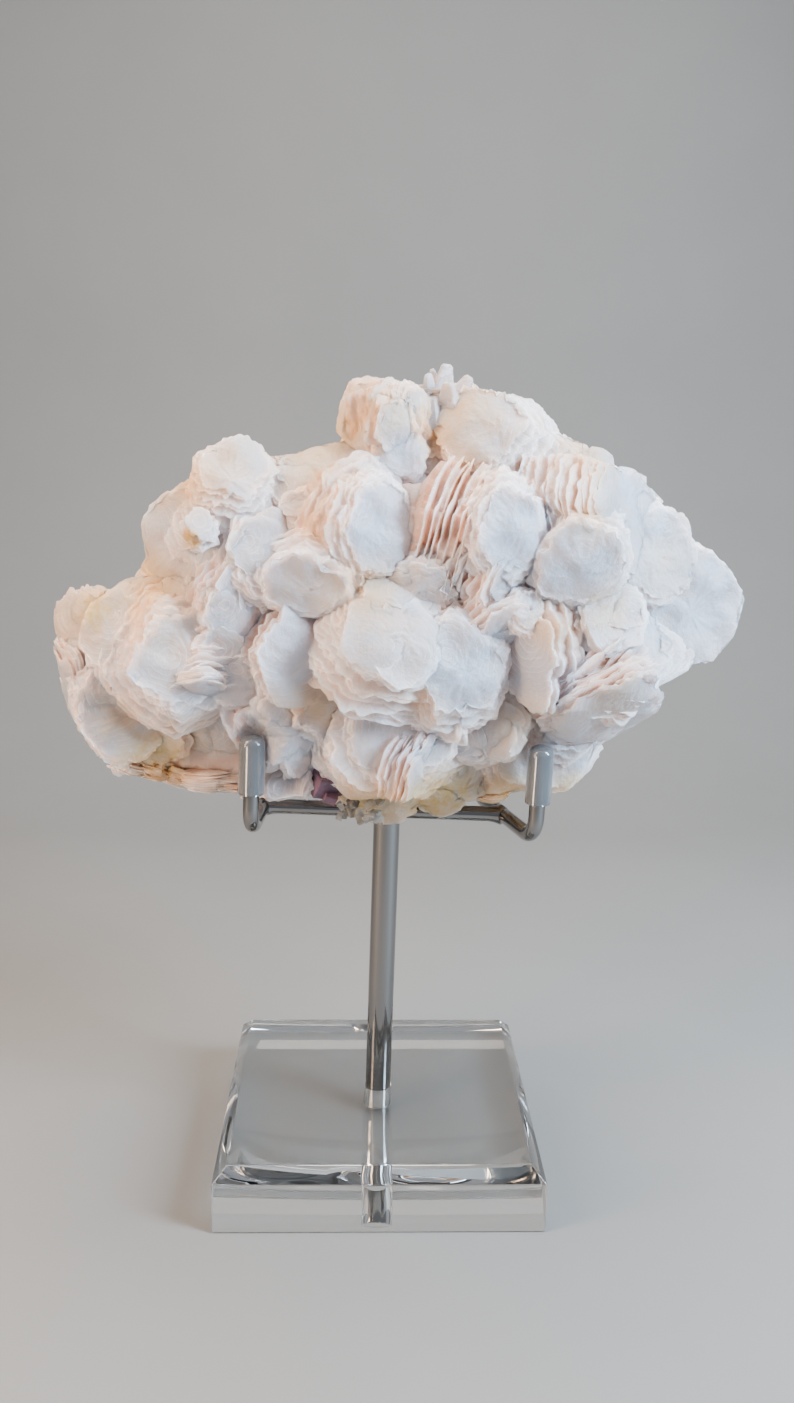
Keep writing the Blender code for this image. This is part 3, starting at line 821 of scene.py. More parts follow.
def room_to_grow(spec, across):
    """How far the plates may reach at each step round, before they pass the outline in the photograph."""
    right, up, out = facing(spec.turn, spec.tilt)
    ways = np.outer(across[0], right[[0, 2]]) + np.outer(across[1], up[[0, 2]])
    reach = np.full(len(ways), 1e3)
    middle = spec.centre[[0, 2]]
    eye = np.array(CAMERA_PLACE) / MM
    nearer = (spec.centre[1] - eye[1]) / -eye[1]
    outline = eye[[0, 2]] + (np.array(BODY_OUTLINE, float) - eye[[0, 2]]) * nearer
    for first, second in zip(outline, np.roll(outline, -1, axis=0)):
        start = first - middle
        side = second - first
        turned = ways[:, 0] * side[1] - ways[:, 1] * side[0]
        turned[np.abs(turned) < 1e-6] = 1e-6
        along = (start[0] * side[1] - start[1] * side[0]) / turned
        part = (start[0] * ways[:, 1] - start[1] * ways[:, 0]) / turned
        hits = (part >= 0) & (part <= 1) & (along > 0)
        reach[hits] = np.minimum(reach[hits], along[hits])
    return reach


class Skin:
    """Vertices, faces and stored values of a growing mesh."""

    def __init__(self):
        self.places, self.faces, self.gaps, self.rims, self.layers = [], [], [], [], []
        self.count = 0

    def add(self, places, faces, gaps, rims, layers):
        self.places.append(places)
        self.faces.extend([tuple(index + self.count for index in face) for face in faces])
        self.gaps.append(gaps)
        self.rims.append(rims)
        self.layers.append(layers)
        self.count += len(places)


def tube_faces(rings, count):
    """Faces of a closed run of rings, with one vertex before the first and one after the last."""
    faces = []
    last = 1 + rings * count
    for i in range(count):
        j = (i + 1) % count
        faces.append((0, 1 + i, 1 + j))
        for ring in range(rings - 1):
            front, behind = 1 + ring * count, 1 + (ring + 1) * count
            faces.append((front + i, behind + i, behind + j, front + j))
        faces.append((last, 1 + (rings - 1) * count + j, 1 + (rings - 1) * count + i))
    return faces


MOST_FLARE = 0.32


def plate_plan(draw, kind, spec):
    """Each plate of the stack, from the crown down: its size, its depth, its thickness, pitch and neck."""
    plan = []
    depth, index, change = 0.0, 0, 0.0
    while depth < spec.depth * PLATED_SHARE:
        stepping = index < kind.steps
        size = 1 - kind.crown * (1 - (index + 1) / (kind.steps + 1)) ** 1.3 if stepping else 1.0
        size += min(kind.flare * max(depth - kind.steps * kind.pitch * 0.7, 0.0) / spec.radius, MOST_FLARE)
        change = change * 0.6 + draw.normal() * 0.022
        pitch = kind.pitch * draw.uniform(0.65, 1.4) * (0.7 if stepping else 1.0)
        neck = kind.neck * draw.uniform(0.5, 1.5) * (0.6 if stepping else 1.0)
        plan.append((size * (1 + change), depth, kind.rim * draw.uniform(0.8, 1.2), pitch, neck))
        depth += pitch
        index += 1
    return plan


def plate_shape(draw, angles, count):
    """The stack's outline: a polygon with softened corners, pulled out of true."""
    corners = draw.integers(5, 8)
    turned = (angles + draw.uniform(0, math.tau)) % (math.tau / corners) - math.pi / corners
    polygon = math.cos(math.pi / corners) / np.cos(turned)
    return 0.35 + 0.65 * polygon / polygon.mean() + 0.07 * smooth_noise(draw, count, 5)


RIM_MARGIN = 0.8
LEAST_SHARE = 0.66


def build_rosette(skin, spec, rim_step):
    kind = KINDS[spec.kind]
    draw = np.random.default_rng(sum(ord(letter) * (i + 7) for i, letter in enumerate(spec.name)))
    count = int(np.clip(math.tau * spec.radius / rim_step, FEWEST_STEPS, MOST_STEPS))
    angles = np.arange(count) * math.tau / count
    across = np.stack((np.cos(angles) * spec.width, np.sin(angles)))
    shape = plate_shape(draw, angles, count)
    most = np.maximum(room_to_grow(spec, across) - RIM_MARGIN, spec.radius * shape * LEAST_SHARE)
    shed = way_of(spec.shed + draw.normal() * 15)
    spread = way_of(spec.fan_way) * spec.fan / spec.radius
    shared_wave = smooth_noise(draw, count, 4) * 0.03 * spec.radius
    touches = facet_touches(draw, spec.radius)
    start = -shed * spec.radius * 0.45
    local, gaps, rims, layers = [], [], [], []
    seed = draw.uniform(0, 100)

    def add_ring(radius, depth, centre, tip, wave, gap, rim, base=None):
        """One ring in the rosette's own frame: across, up and out, in millimetres."""
        flat = across * radius + centre[:, None]
        reach = np.linalg.norm(flat, axis=0) / spec.radius
        out = faceted_bow(touches, flat, kind.bow, spec.radius) + wave * reach ** 4 + tip @ flat
        out -= depth * (1 + spread @ flat)
        away = np.linalg.norm(flat - start[:, None], axis=0) * LINES_PER_MM
        if base is None:
            out += crown_steps(flat, start, seed) * (1 - rim)
        local.append(np.stack((flat[0], flat[1], out), axis=1))
        gaps.append(np.broadcast_to(gap, count))
        rims.append(np.full(count, rim))
        layers.append(away if base is None else base + depth * SIDE_LINES_PER_MM)
        return away

    plan = plate_plan(draw, kind, spec)
    centre, tip = np.zeros(2), np.zeros(2)
    for index, (size, depth, thick, pitch, neck) in enumerate(plan):
        outline = rim_outline(draw, count, spec.radius * size, shape, kind.scallop)
        over = np.maximum(outline - most, 0)
        ragged = smooth_noise(draw, count, max(count // 3, 6)) * 0.5 + draw.normal(size=count) * 0.2
        outline = np.minimum(outline, most) + (1.2 + ragged) * over / (over + 4.0)
        centre = centre * 0.7 + draw.normal(size=2) * 0.025 * spec.radius
        lean = centre - shed * spec.radius * (1 - min(size, 1)) * 0.8
        tip = tip * 0.8 + draw.normal(size=2) * 0.012
        wave = shared_wave + smooth_noise(draw, count, 5) * min(0.22 * pitch, 0.26)
        if index == 0:
            plain = spec.radius <= SMALL_RADIUS or spec.kind == "plate"
            for share in FEW_FACE_RINGS if plain else FACE_RINGS:
                blend = share ** 7
                face = outline * blend + spec.radius * size * (1 - blend)
                base = add_ring(face * share, 0.0, lean * share, tip, wave * share, 0.0, blend * 0.4)
        depths = depth + RIM_SLOPE, depth + thick, depth + thick * 1.35, depth + pitch
        inward = neck * np.clip(0.75 + 0.45 * smooth_noise(draw, count, 7), 0.12, 1.4)
        # Painted shade in the gap behind each rim: the deeper the neck, the browner the gap.
        dark = np.clip(inward / 3.0, 0.0, 1.0)
        # The rim ring gets the full painted highlight, and the ring behind it most of it.
        add_ring(outline, depths[0], lean, tip, wave, 0.0, 1.0, base)
        if kind.rim:
            add_ring(outline - 0.12, depths[1], lean, tip, wave, 0.1 * dark, 0.8, base)
            add_ring(outline - inward, depths[2], lean, tip, wave, dark, 0.0, base)
        add_ring(outline - inward, depths[3] - 0.1, lean, tip, wave, dark, 0.0, base)
    rings = len(local)
    right, up, out = facing(spec.turn, spec.tilt)
    crown = np.array([[0.0, 0.0, local[0][:, 2].mean()]])
    root = np.array([[0.0, 0.0, -spec.depth - kind.bow * spec.radius]])
    places = np.concatenate([crown, *local, root])
    world = spec.centre + places @ np.stack((right, up, out))
    # The crown point gets no painted shade or highlight, and the root point gets full painted shade.
    skin.add(world, tube_faces(rings, count), np.concatenate([[0.0], *gaps, [1.0]]),
             np.concatenate([[0.0], *rims, [0.0]]), np.concatenate([[layers[0].mean()], *layers, [0.0]]))


# %% [markdown]
# ## Where each rosette sits
# The places were read from the photograph through the camera above, region by region. A rosette that faces
# the viewer shows its round crown, and one that faces aside shows the edges of its plates.

# %% Lay out the rosettes
CLUSTER = {
    "crown_rosettes": (
        rosette("top_dome", "dome", (31, -22, 236), -14, 24, 17, 24, shed=-30),
        rosette("top_saddle", "dome", (53, -20, 222), 12, 14, 13, 18, shed=-70),
        rosette("top_column", "shell", (6, -18, 241), 40, 6, 11, 20, width=0.7, shed=180),
        rosette("top_left_block", "disc", (-5, -15, 240), -20, 10, 12.5, 16, shed=150),
        rosette("top_hollow", "comb", (14, -12, 236), 4, 22, 11, 10),
        rosette("top_small_disc", "disc", (4, -20, 229), 8, 10, 8, 8, shed=-90),
        rosette("right_crown", "comb", (68, -26, 214), 46, 12, 17, 26, shed=180),
        rosette("right_oval", "disc", (35, -40, 208), 18, 2, 12.5, 14, width=0.82, shed=-60),
        rosette("right_web", "disc", (44, -27, 208), 10, 16, 11, 12),
        rosette("open_stack", "blades", (26, -29, 203), 74, -17, 16.5, 25, width=0.62),
        rosette("stack_face", "disc", (24, -31, 194), 12, -8, 10.5, 12, shed=-100),
    ),
    "left_rosettes": (
        rosette("left_dome", "dome", (-43, -27, 220), 4, 34, 14.5, 22, shed=-85),
        rosette("left_hub", "disc", (-59, -23, 203), -28, -2, 15.5, 20, shed=-10),
        rosette("hub_crystals", "petals", (-50, -35, 208), 20, 30, 5.5, 6),
        rosette("warm_cap", "dome", (-15, -25, 218), 5, 36, 16, 20, shed=-50),
        rosette("warm_facet", "disc", (-22, -27, 209), -10, -12, 9, 10),
        rosette("bright_oval", "disc", (-3, -36, 208), 24, 4, 13, 20, width=0.85, shed=180),
        rosette("scalloped_stack", "shell", (-31, -33, 199), 24, 12, 11, 16, shed=150),
        rosette("smooth_leaf", "disc", (-22, -38, 191), -8, -18, 9.5, 16, width=1.25, shed=-90),
        rosette("slender_blades", "comb", (-37, -29, 186), 38, -8, 11, 14, fan=0.5, fan_way=110),
        rosette("left_web", "shell", (-54, -26, 188), -10, 20, 12, 12, shed=120),
    ),
    "far_left_rosettes": (
        rosette("left_sail", "disc", (-54, -32.5, 170), 22, 2, 14.5, 22, shed=0),
        rosette("left_knob", "petals", (-78, -28, 176), -8, 14, 14, 18, shed=-90),
        rosette("left_knob_rim", "shell", (-92, -19, 175), -42, 6, 12.5, 14),
        rosette("left_roof", "comb", (-66, -16, 186), -5, 68, 15.5, 8),
        rosette("left_foot", "comb", (-93, -13, 152), -62, -20, 17, 24),
        rosette("left_foot_face", "comb", (-75, -23, 151), 24, -6, 13.5, 18),
        rosette("left_underside", "comb", (-60, -14, 145.5), -12, -30, 13.5, 16),
        rosette("left_toe", "shell", (-76, -13, 142), -28, -24, 13, 14, shed=-40),
        rosette("sail_gap", "comb", (-45, -31, 171), 18, -20, 8, 12),
        rosette("sail_gap_low", "comb", (-40, -29, 163), 14, -12, 9, 12),
        rosette("prong_comb", "comb", (-54, -26, 157), 6, -58, 11, 16),
    ),
    "middle_rosettes": (
        rosette("middle_dome", "dome", (3, -40, 186), 18, 36, 14.5, 26, shed=-115),
        rosette("middle_disc", "disc", (23, -38, 169), 18, 2, 14.5, 22, width=0.88, shed=-10),
        rosette("centre_web", "shell", (10, -35, 194), -12, -10, 11, 16, shed=90),
        rosette("left_drape", "leaves", (-23, -34, 170), 34, -4, 14, 18, width=0.8),
        rosette("lower_web", "comb", (-14, -27, 156), 30, -10, 11, 12),
        rosette("ribs_below_dome", "comb", (12, -30, 158), -35, -10, 10, 12),
        rosette("upright_blades", "leaves", (40, -35, 171), -48, 0, 13, 20, width=0.75),
        rosette("upright_blades_top", "comb", (36, -33, 192), 48, -28, 10, 16),
        rosette("gap_ribs", "comb", (34, -32, 178), 20, -40, 10, 14),
        rosette("small_oval", "disc", (40, -37, 185.5), 15, 0, 6.5, 8, width=0.8),
    ),
    "lower_rosettes": (
        rosette("lower_disc", "disc", (2, -31, 145), 5, 8, 13.5, 20, width=1.15, shed=-150),
        rosette("prong_fan", "comb", (-43, -14, 141), 2, -32, 14.5, 20),
        rosette("prong_fan_shoulder", "shell", (-24, -26, 148), 34, -8, 13, 18, shed=10),
        rosette("right_skirt", "disc", (51, -15, 139), 8, 2, 19, 18),
        rosette("skirt_face", "disc", (58, -20, 150), 12, 0, 12.5, 12, shed=-60),
        rosette("right_ledge", "comb", (38, -15, 145), 2, -28, 14, 20),
        rosette("small_blades", "comb", (14, -26, 137), 58, -16, 10, 14),
        rosette("base_ledge", "shell", (24, -12, 127), 10, -20, 13, 10),
        rosette("base_ledge_left", "shell", (0, -13, 126), -5, -18, 12, 10),
        rosette("lower_right_web", "comb", (28, -25, 151), -20, 5, 11, 12),
    ),
    "right_rosettes": (
        rosette("right_fan", "fans", (68, -29, 154), 22, -44, 17, 30, fan=0.62, fan_way=0),
        rosette("right_fan_crest", "disc", (68, -29, 177), 16, 34, 14.5, 18, width=1.15, shed=-20),
        rosette("right_shield", "disc", (54, -38, 197), 8, -14, 13, 18, shed=-60),
        rosette("tan_disc", "dome", (60, -33, 186), 0, 28, 11.5, 14, shed=-90),
        rosette("right_wing", "disc", (77, -23, 201), 20, 8, 14, 20, shed=180),
        rosette("far_right_plate", "disc", (90, -17, 183.5), 14, 0, 21, 16, width=0.95, shed=170),
        rosette("far_right_rim", "disc", (84, -10, 206), 15, 20, 11, 14, shed=120),
    ),
    "rear_rosettes": (
        rosette("back_left_foot", "shell", (-72, 15, 150), 196, -10, 17, 10),
        rosette("back_left_knob", "disc", (-77, 15, 173), 202, 10, 15, 10),
        rosette("back_left_hub", "shell", (-54, 18, 199), 190, 14, 16, 10),
        rosette("back_left_middle", "disc", (-48, 19, 172), 184, 0, 17, 10),
        rosette("back_left_low", "comb", (-46, 17, 145), 180, -16, 15, 10),
        rosette("back_middle_low", "shell", (-12, 17, 143), 176, -14, 17, 10),
        rosette("back_middle", "dome", (-14, 20, 174), 182, 2, 18, 10),
        rosette("back_middle_high", "disc", (-14, 18, 208), 182, 14, 18, 10),
        rosette("back_top", "shell", (19, 15, 234), 174, 18, 16, 10),
        rosette("back_right_low", "disc", (24, 18, 146), 174, -12, 17, 10),
        rosette("back_right_inner", "shell", (20, 20, 176), 178, 0, 17, 10),
        rosette("back_right_high", "dome", (22, 19, 206), 172, 8, 16, 10),
        rosette("back_right", "shell", (53, 18, 160), 168, -12, 18, 10),
        rosette("back_right_outer", "disc", (53, 18, 193), 170, 4, 18, 10),
        rosette("back_right_crown", "comb", (50, 14, 218), 164, 22, 14, 10),
        rosette("back_right_wing", "dome", (84, 12, 186), 158, 4, 17, 10),
    ),
}
print("rosettes:", sum(len(group) for group in CLUSTER.values()))

# %% [markdown]
# ## Peach, painted light and iron stains
# Peach gathers on upper rims and in sheltered places: it is partly the crystal's own tint, partly painted warm
# light on the upper and left faces and painted shade in the sheltered places. The flat crowns get a little
# blue, which is painted cool light from the right. A few spots along the lower edge and on the left carry
# ochre stains. Each patch is a soft ball with a place, a size and a strength. A point of the mesh takes the
# strongest patch of each tint that reaches it.

# %% Place the patches of colour
# Patches as (x, y, z, radius, strength), in millimetres
# Peach patches: partly the crystal's own tint, partly painted warm light and painted shade.
WARM_TINT_AND_PAINTED_LIGHT_PATCHES = (
    (-4, -14, 240, 18, 1.2), (12, -14, 234, 12, 1.3), (20, -24, 243, 15, 1.0), (56, -24, 228, 11, 1.0),
    (-20, -24, 228, 17, 1.1), (-56, -24, 219, 14, 1.0), (-6, -42, 192, 13, 1.0), (-66, -22, 189, 16, 1.0),
    (-90, -18, 180, 12, 0.8), (-60, -18, 140, 18, 0.8), (5, -16, 126, 21, 0.9), (48, -32, 181, 10, 1.0),
    (66, -26, 164, 11, 0.8), (-78, -20, 152, 12, 0.8), (-64, -22, 176, 10, 0.7), (54, -30, 213, 10, 0.9),
    (40, -24, 150, 15, 0.6), (84, -22, 196, 12, 0.5), (-21, -26, 157, 10, 1.0), (60, -33, 188, 10, 0.8),
    (-20, -26, 210, 10, 1.0), (10, -28, 160, 10, 0.7), (-48, -22, 132, 15, 0.7), (22, -30, 225, 9, 0.8),
    (38, -16, 128, 17, 0.8), (-44, -24, 226, 9, 0.5),
)
STAIN_PATCHES = (
    (-83, -28, 184, 8.5, 1.5), (-69, -18, 135, 13, 1.5), (-55, -35, 204, 4.2, 3.0), (-6, -18, 122, 14, 1.2),
    (18, -18, 124, 16, 1.4), (-30, -20, 232, 8, 1.0), (-14, -18, 235, 8, 0.9), (38, -18, 123, 12, 1.1),
    (-70, -14, 190, 12, 0.7), (57, -14, 128, 8, 1.0),
)
# Painted cool light on the flat crowns.
COOL_LIGHT_PATCHES = (
    (35, -36, 207, 15, 0.8), (23, -34, 168, 16, 0.8), (2, -28, 146, 17, 0.6), (53, -32, 197, 16, 0.7),
    (-3, -34, 207, 14, 0.8), (70, -24, 218, 14, 0.5), (92, -14, 186, 24, 0.6), (76, -26, 162, 22, 0.4),
    (48, -34, 168, 14, 0.6), (-28, -32, 178, 16, 0.5), (-58, -22, 202, 14, 0.4), (5, -20, 228, 10, 0.9),
    (-31, -32, 199, 13, 0.5), (-4, -16, 240, 15, 0.35), (52, -18, 142, 18, 0.4), (-38, -24, 150, 18, 0.35),
)
PATCHES = {"warm": WARM_TINT_AND_PAINTED_LIGHT_PATCHES, "stain": STAIN_PATCHES, "cool": COOL_LIGHT_PATCHES}
PATCH_DEPTH = 0.3


def patch_strength(places, patches):
    """The strongest patch at each place, up to 1, fading to nothing at its radius, and deeper than wide."""
    best = np.zeros(len(places))
    for x, y, z, radius, strength in patches:
        away = (places - np.array((x, y, z))) * np.array((1.0, PATCH_DEPTH, 1.0))
        away = np.linalg.norm(away, axis=1) / radius
        best = np.maximum(best, strength * np.clip(1 - away, 0, 1) ** 0.8)
    return np.minimum(best, 1.0)


# %% Turn a skin into a piece
noise.seed_set(7)
WARP_SIZE = 14.0
WARP_REACH = 0.9


def warped(places):
    """The same places, bent gently by one slow noise, so that neighbours bend alike."""
    moves = np.array([noise.noise_vector(Vector(place) / WARP_SIZE) for place in places])
    return places + moves * WARP_REACH


def store(mesh, name, values):
    layer = mesh.attributes.new(name, "FLOAT", "POINT")
    layer.data.foreach_set("value", np.ascontiguousarray(values, dtype=np.float32))


def tube_line(first, second, at):
    """The point of a straight wire where its coordinate number axis has the values at, in millimetres."""
    axis, values = at
    a, b = np.array(first) / MM, np.array(second) / MM
    part = np.clip((values - a[axis]) / (b[axis] - a[axis]), 0, 1)
    return a + (b - a) * part[:, None]


CAP_ROOM = SLEEVE_RADIUS + 0.35
WIRE_ROOM = WIRE_RADIUS + 0.3
ROOM_SLOPE = 0.9
LIP_SLOPE = 1.0
SLOPE_WIDTH = 5.0
SLOPE_HEIGHT = 12.0
SQUEEZE = 1.1


def squeezed(gap):
    """A gap that is made never less than nothing, so that layers stay in their order."""
    return SQUEEZE * np.logaddexp(0, gap / SQUEEZE)


LEFT_LIMIT = SOLID_BOUNDS[0][0] / MM + 0.4
LIMIT_SOFTNESS = 1.0


def arch(beside, room):
    """Height of a round bar's arch over its middle, at a distance beside it."""
    return np.sqrt(np.maximum(room ** 2 - beside ** 2, 0))


def lift_off(made, wire, axis, across):
    """Lifts places off a wire that lies along one axis, with the other one across it."""
    line = tube_line(*wire, (axis, made[:, axis]))
    beside = np.abs(made[:, across] - line[:, across])
    over = np.maximum(made[:, 2], line[:, 2] + arch(beside, WIRE_ROOM))
    made[:, 2] = np.where(beside < WIRE_ROOM, over, made[:, 2])


def make_room(places):
    """Draws the crystal back where it rests against the cradle, so that nothing pierces a wire or a cap. The
    far left rims are drawn in to the solid's own reach."""
    made = places.copy()
    made[:, 0] = LEFT_LIMIT + LIMIT_SOFTNESS * np.logaddexp(0, (made[:, 0] - LEFT_LIMIT) / LIMIT_SOFTNESS)
    for prong_tip, front, back, support_tip in arms.values():
        line = tube_line(front, prong_tip, (2, made[:, 2]))
        beside = np.abs(made[:, 0] - line[:, 0])
        hollow = np.where(beside < CAP_ROOM, arch(beside, CAP_ROOM), -(beside - CAP_ROOM) * ROOM_SLOPE)
        above = np.maximum(made[:, 2] - prong_tip.z / MM - SLEEVE_CROWN, 0)
        near = (beside < CAP_ROOM + SLOPE_WIDTH) & (above < SLOPE_HEIGHT)
        limit = line[:, 1] + hollow - above * LIP_SLOPE
        made[:, 1] = np.where(near, limit + squeezed(made[:, 1] - limit), made[:, 1])
        line = tube_line(back, support_tip, (2, made[:, 2]))
        beside = np.abs(made[:, 0] - line[:, 0])
        near = (beside < CAP_ROOM) & (made[:, 2] < support_tip.z / MM + SLEEVE_CROWN + 1)
        limit = line[:, 1] - arch(beside, CAP_ROOM)
        made[:, 1] = np.where(near, limit - squeezed(limit - made[:, 1]), made[:, 1])
        lift_off(made, (front, back), 1, 0)
    lift_off(made, bar_ends, 0, 1)
    return made


def finish_calcite(name, places, faces, gaps, rims, layers, stands_for=()):
    places = make_room(places)
    mesh = bpy.data.meshes.new(name)
    mesh.from_pydata((places * MM).tolist(), [], faces)
    # The gap value carries painted shade and the rim value a painted highlight.
    for value, numbers in (("gap", gaps), ("rim", rims), ("layer", layers)):
        store(mesh, value, numbers)
    for tint, patches in PATCHES.items():
        store(mesh, tint, patch_strength(places, patches))
    shade_round(mesh, 40)
    add_piece(name, mesh, calcite, stands_for)
    print(f"{name}: {sum(len(face) - 2 for face in faces)} triangles")


# %% [markdown]
# The gaps between the large rosettes are full of smaller ones, each turned its own way. Their places come
# from a loose grid over the specimen's outline. A place that a large rosette already covers is skipped.

# %% Find places for the small rosettes
# Bare places, where other crystals or a deep gap show, as (x, z, radius) in millimetres
BARE_PLACES = ((-18, 131, 11), (-9, 122, 12), (12, 234, 9))


def covered(x, z, group, cover=0.95):
    """Whether one of the rosettes hides the place (x, z), seen from the front or the back."""
    if any(math.hypot(x - bare_x, z - bare_z) < radius for bare_x, bare_z, radius in BARE_PLACES):
        return True
    for spec in group:
        out = facing(spec.turn, spec.tilt)[2]
        middle = spec.centre - out * spec.depth * 0.3
        if math.hypot(x - middle[0], z - middle[2]) < spec.radius * cover:
            return True
    return False


def inside(x, z, outline):
    """Whether the place lies inside the closed outline."""
    crossings = 0
    for (x1, z1), (x2, z2) in zip(outline, outline[1:] + outline[:1]):
        if (z1 > z) != (z2 > z) and x < (x2 - x1) * (z - z1) / (z2 - z1) + x1:
            crossings += 1
    return crossings % 2 == 1


SPROUT_GRID = 6.5
REAR_SPROUT_GRID = 8.5
SPROUT_KINDS = ("comb", "shell", "comb", "disc")
SPROUT_DEPTH = 9


def sprouts(name, large, y, back, reach, grid=SPROUT_GRID):
    """Small rosettes on the front, or on the back, wherever the large ones leave a gap."""
    draw = random.Random(name)
    shrunk = [(x * reach, BODY_MIDDLE[1] + (z - BODY_MIDDLE[1]) * reach) for x, z in BODY_OUTLINE]
    made = []
    for row in range(22):
        for column in range(34):
            x = -104 + (column + draw.uniform(-0.35, 0.35) + (row % 2) / 2) * grid
            z = 116 + (row + draw.uniform(-0.35, 0.35)) * grid
            turn, tilt, kind = draw.uniform(-55, 55), draw.uniform(-40, 40), draw.choice(SPROUT_KINDS)
            radius, sink = draw.uniform(7.0, 10.5), draw.uniform(-1.5, 2.5)
            shed = draw.uniform(-180, 180)
            if inside(x, z, shrunk) and not covered(x, z, large):
                made.append(rosette(f"{name}_{row}_{column}", kind, (x, y + sink, z), back + turn, tilt,
                                    radius, SPROUT_DEPTH, shed=shed))
    return made


def edge_sprouts(name, rows, reach, spacing=9.5):
    """Small rosettes round the specimen's narrow side, facing outward."""
    draw = random.Random(name)
    made = []
    for (x1, z1), (x2, z2) in zip(BODY_OUTLINE, BODY_OUTLINE[1:] + BODY_OUTLINE[:1]):
        length = math.hypot(x2 - x1, z2 - z1)
        steps = max(1, round(length / spacing))
        for step in range(steps):
            for y in rows:
                part = (step + draw.uniform(0.2, 0.8)) / steps
                x, z = x1 + (x2 - x1) * part, z1 + (z2 - z1) * part
                backward = (y + 4) / 26 + draw.uniform(-0.3, 0.3)
                out = Vector(((z2 - z1) / length, backward, -(x2 - x1) / length))
                out.normalize()
                turn, tilt = math.degrees(math.atan2(out.x, -out.y)), math.degrees(math.asin(out.z))
                place = (x * reach, y + draw.uniform(-2, 2), BODY_MIDDLE[1] + (z - BODY_MIDDLE[1]) * reach)
                kind, radius = draw.choice(SPROUT_KINDS), draw.uniform(5.0, 7.5)
                made.append(rosette(f"{name}_{len(made)}", kind, place, turn, tilt, radius, SPROUT_DEPTH,
                                    shed=draw.uniform(-180, 180)))
    return made


# %% [markdown]
# On the real crystal a crown is seldom one whole disc: younger plates start off its middle and overlap. Two
# or three wide, low plates are laid on each large dome, shell or comb crown, apart from two that stay bare,
# off its middle and tilted with its bow.

# %% Let thin plates overgrow the large crowns
OVERGROWN_KINDS = ("dome", "shell", "comb")
BARE_CROWNS = ("left_dome", "top_dome")
FEWEST_PLATES = 2


def overgrowths(name, group):
    """Smaller plates that lie on the large crowns, so that a crown shows several overlapping edges."""
    made = []
    for spec in group:
        if spec.kind not in OVERGROWN_KINDS or spec.radius < 10 or spec.name in BARE_CROWNS:
            continue
        draw = random.Random(spec.name)
        right, up, out = facing(spec.turn, spec.tilt)
        for index in range(FEWEST_PLATES + draw.randint(0, 1)):
            angle, share = draw.uniform(0, math.tau), draw.uniform(0.38, 0.62)
            x, y = math.cos(angle) * share * spec.radius * spec.width, math.sin(angle) * share * spec.radius
            bow = KINDS[spec.kind].bow
            slope = math.degrees(math.atan(1.4 * bow * share))
            raised = draw.uniform(0.2, 0.7) - bow * spec.radius * share ** 2
            place = spec.centre + right * x + up * y + out * raised
            turn = spec.turn + slope * math.cos(angle) + draw.uniform(-5, 5)
            tilt = spec.tilt + slope * math.sin(angle) + draw.uniform(-5, 5)
            made.append(rosette(f"{name}_{spec.name}_{index}", "plate", place, turn, tilt,
                                spec.radius / CROWDING * draw.uniform(1.0, 1.15) * (1.08 - share), 5.0,
                                draw.uniform(0.85, 1.15),
                                math.degrees(angle) + 180 + draw.uniform(-60, 60)))
    return made


# %% Grow the rosettes
def grow(name, group, rim_step):
    skin = Skin()
    for spec in group:
        build_rosette(skin, spec, rim_step)
    finish_calcite(name, warped(np.concatenate(skin.places)), skin.faces, np.concatenate(skin.gaps),
                   np.concatenate(skin.rims), np.concatenate(skin.layers), ["calcite_cluster"])


RIM_STEP = 1.0
RIM_STEPS = {
    "front_plates": 1.3, "rear_rosettes": 1.7, "rear_plates": 1.8, "rear_sprouts": 1.8, "edge_sprouts": 1.8,
}
large_front = [spec for region, group in CLUSTER.items() if region != "rear_rosettes" for spec in group]
large_rear = CLUSTER["rear_rosettes"]
CLUSTER["front_plates"] = overgrowths("front_plates", large_front)
CLUSTER["rear_plates"] = overgrowths("rear_plates", large_rear)
CLUSTER["front_sprouts"] = sprouts("front_sprouts", large_front, -19, 0, 0.88)
CLUSTER["rear_sprouts"] = sprouts("rear_sprouts", large_rear, 14, 180, 0.86, REAR_SPROUT_GRID)
CLUSTER["edge_sprouts"] = edge_sprouts("edge_sprouts", (-4, 5), 0.965)
for region, group in CLUSTER.items():
    grow(region, group, RIM_STEPS.get(region, RIM_STEP))
    print(region, "has", len(group), "rosettes")

# %% [markdown]
# ## The body between the rosettes
# Behind the crowns the specimen is one mass of the same mineral. It is made from a slab with the specimen's
# outline, which swells out behind every large rosette. The joined forms are remeshed finely and roughened. The
# body closes the gaps between rosettes from behind, and shows at the back and underneath.

# %% Grow the body
BODY_LAYERS = ((-14, 0.60), (-10, 0.82), (-3, 0.93), (6, 0.93), (11, 0.82))
SWELLING = 0.62
BODY_VOXEL = 1.6
BODY_ROUGHNESS = 1.1


def body_slab(bm):
    rings = []
    for y, share in BODY_LAYERS:
        ring = []
        for x, z in BODY_OUTLINE:
            across = BODY_MIDDLE[0] + (x - BODY_MIDDLE[0]) * share
            height = BODY_MIDDLE[1] + (z - BODY_MIDDLE[1]) * share
            ring.append(bm.verts.new(point(across, y, height)))
        rings.append(ring)
    for front, behind in zip(rings, rings[1:]):
        for i in range(len(front)):
            j = (i + 1) % len(front)
            bm.faces.new((front[i], behind[i], behind[j], front[j]))
    bm.faces.new(rings[0])
    bm.faces.new(rings[-1][::-1])
    bmesh.ops.recalc_face_normals(bm, faces=bm.faces)


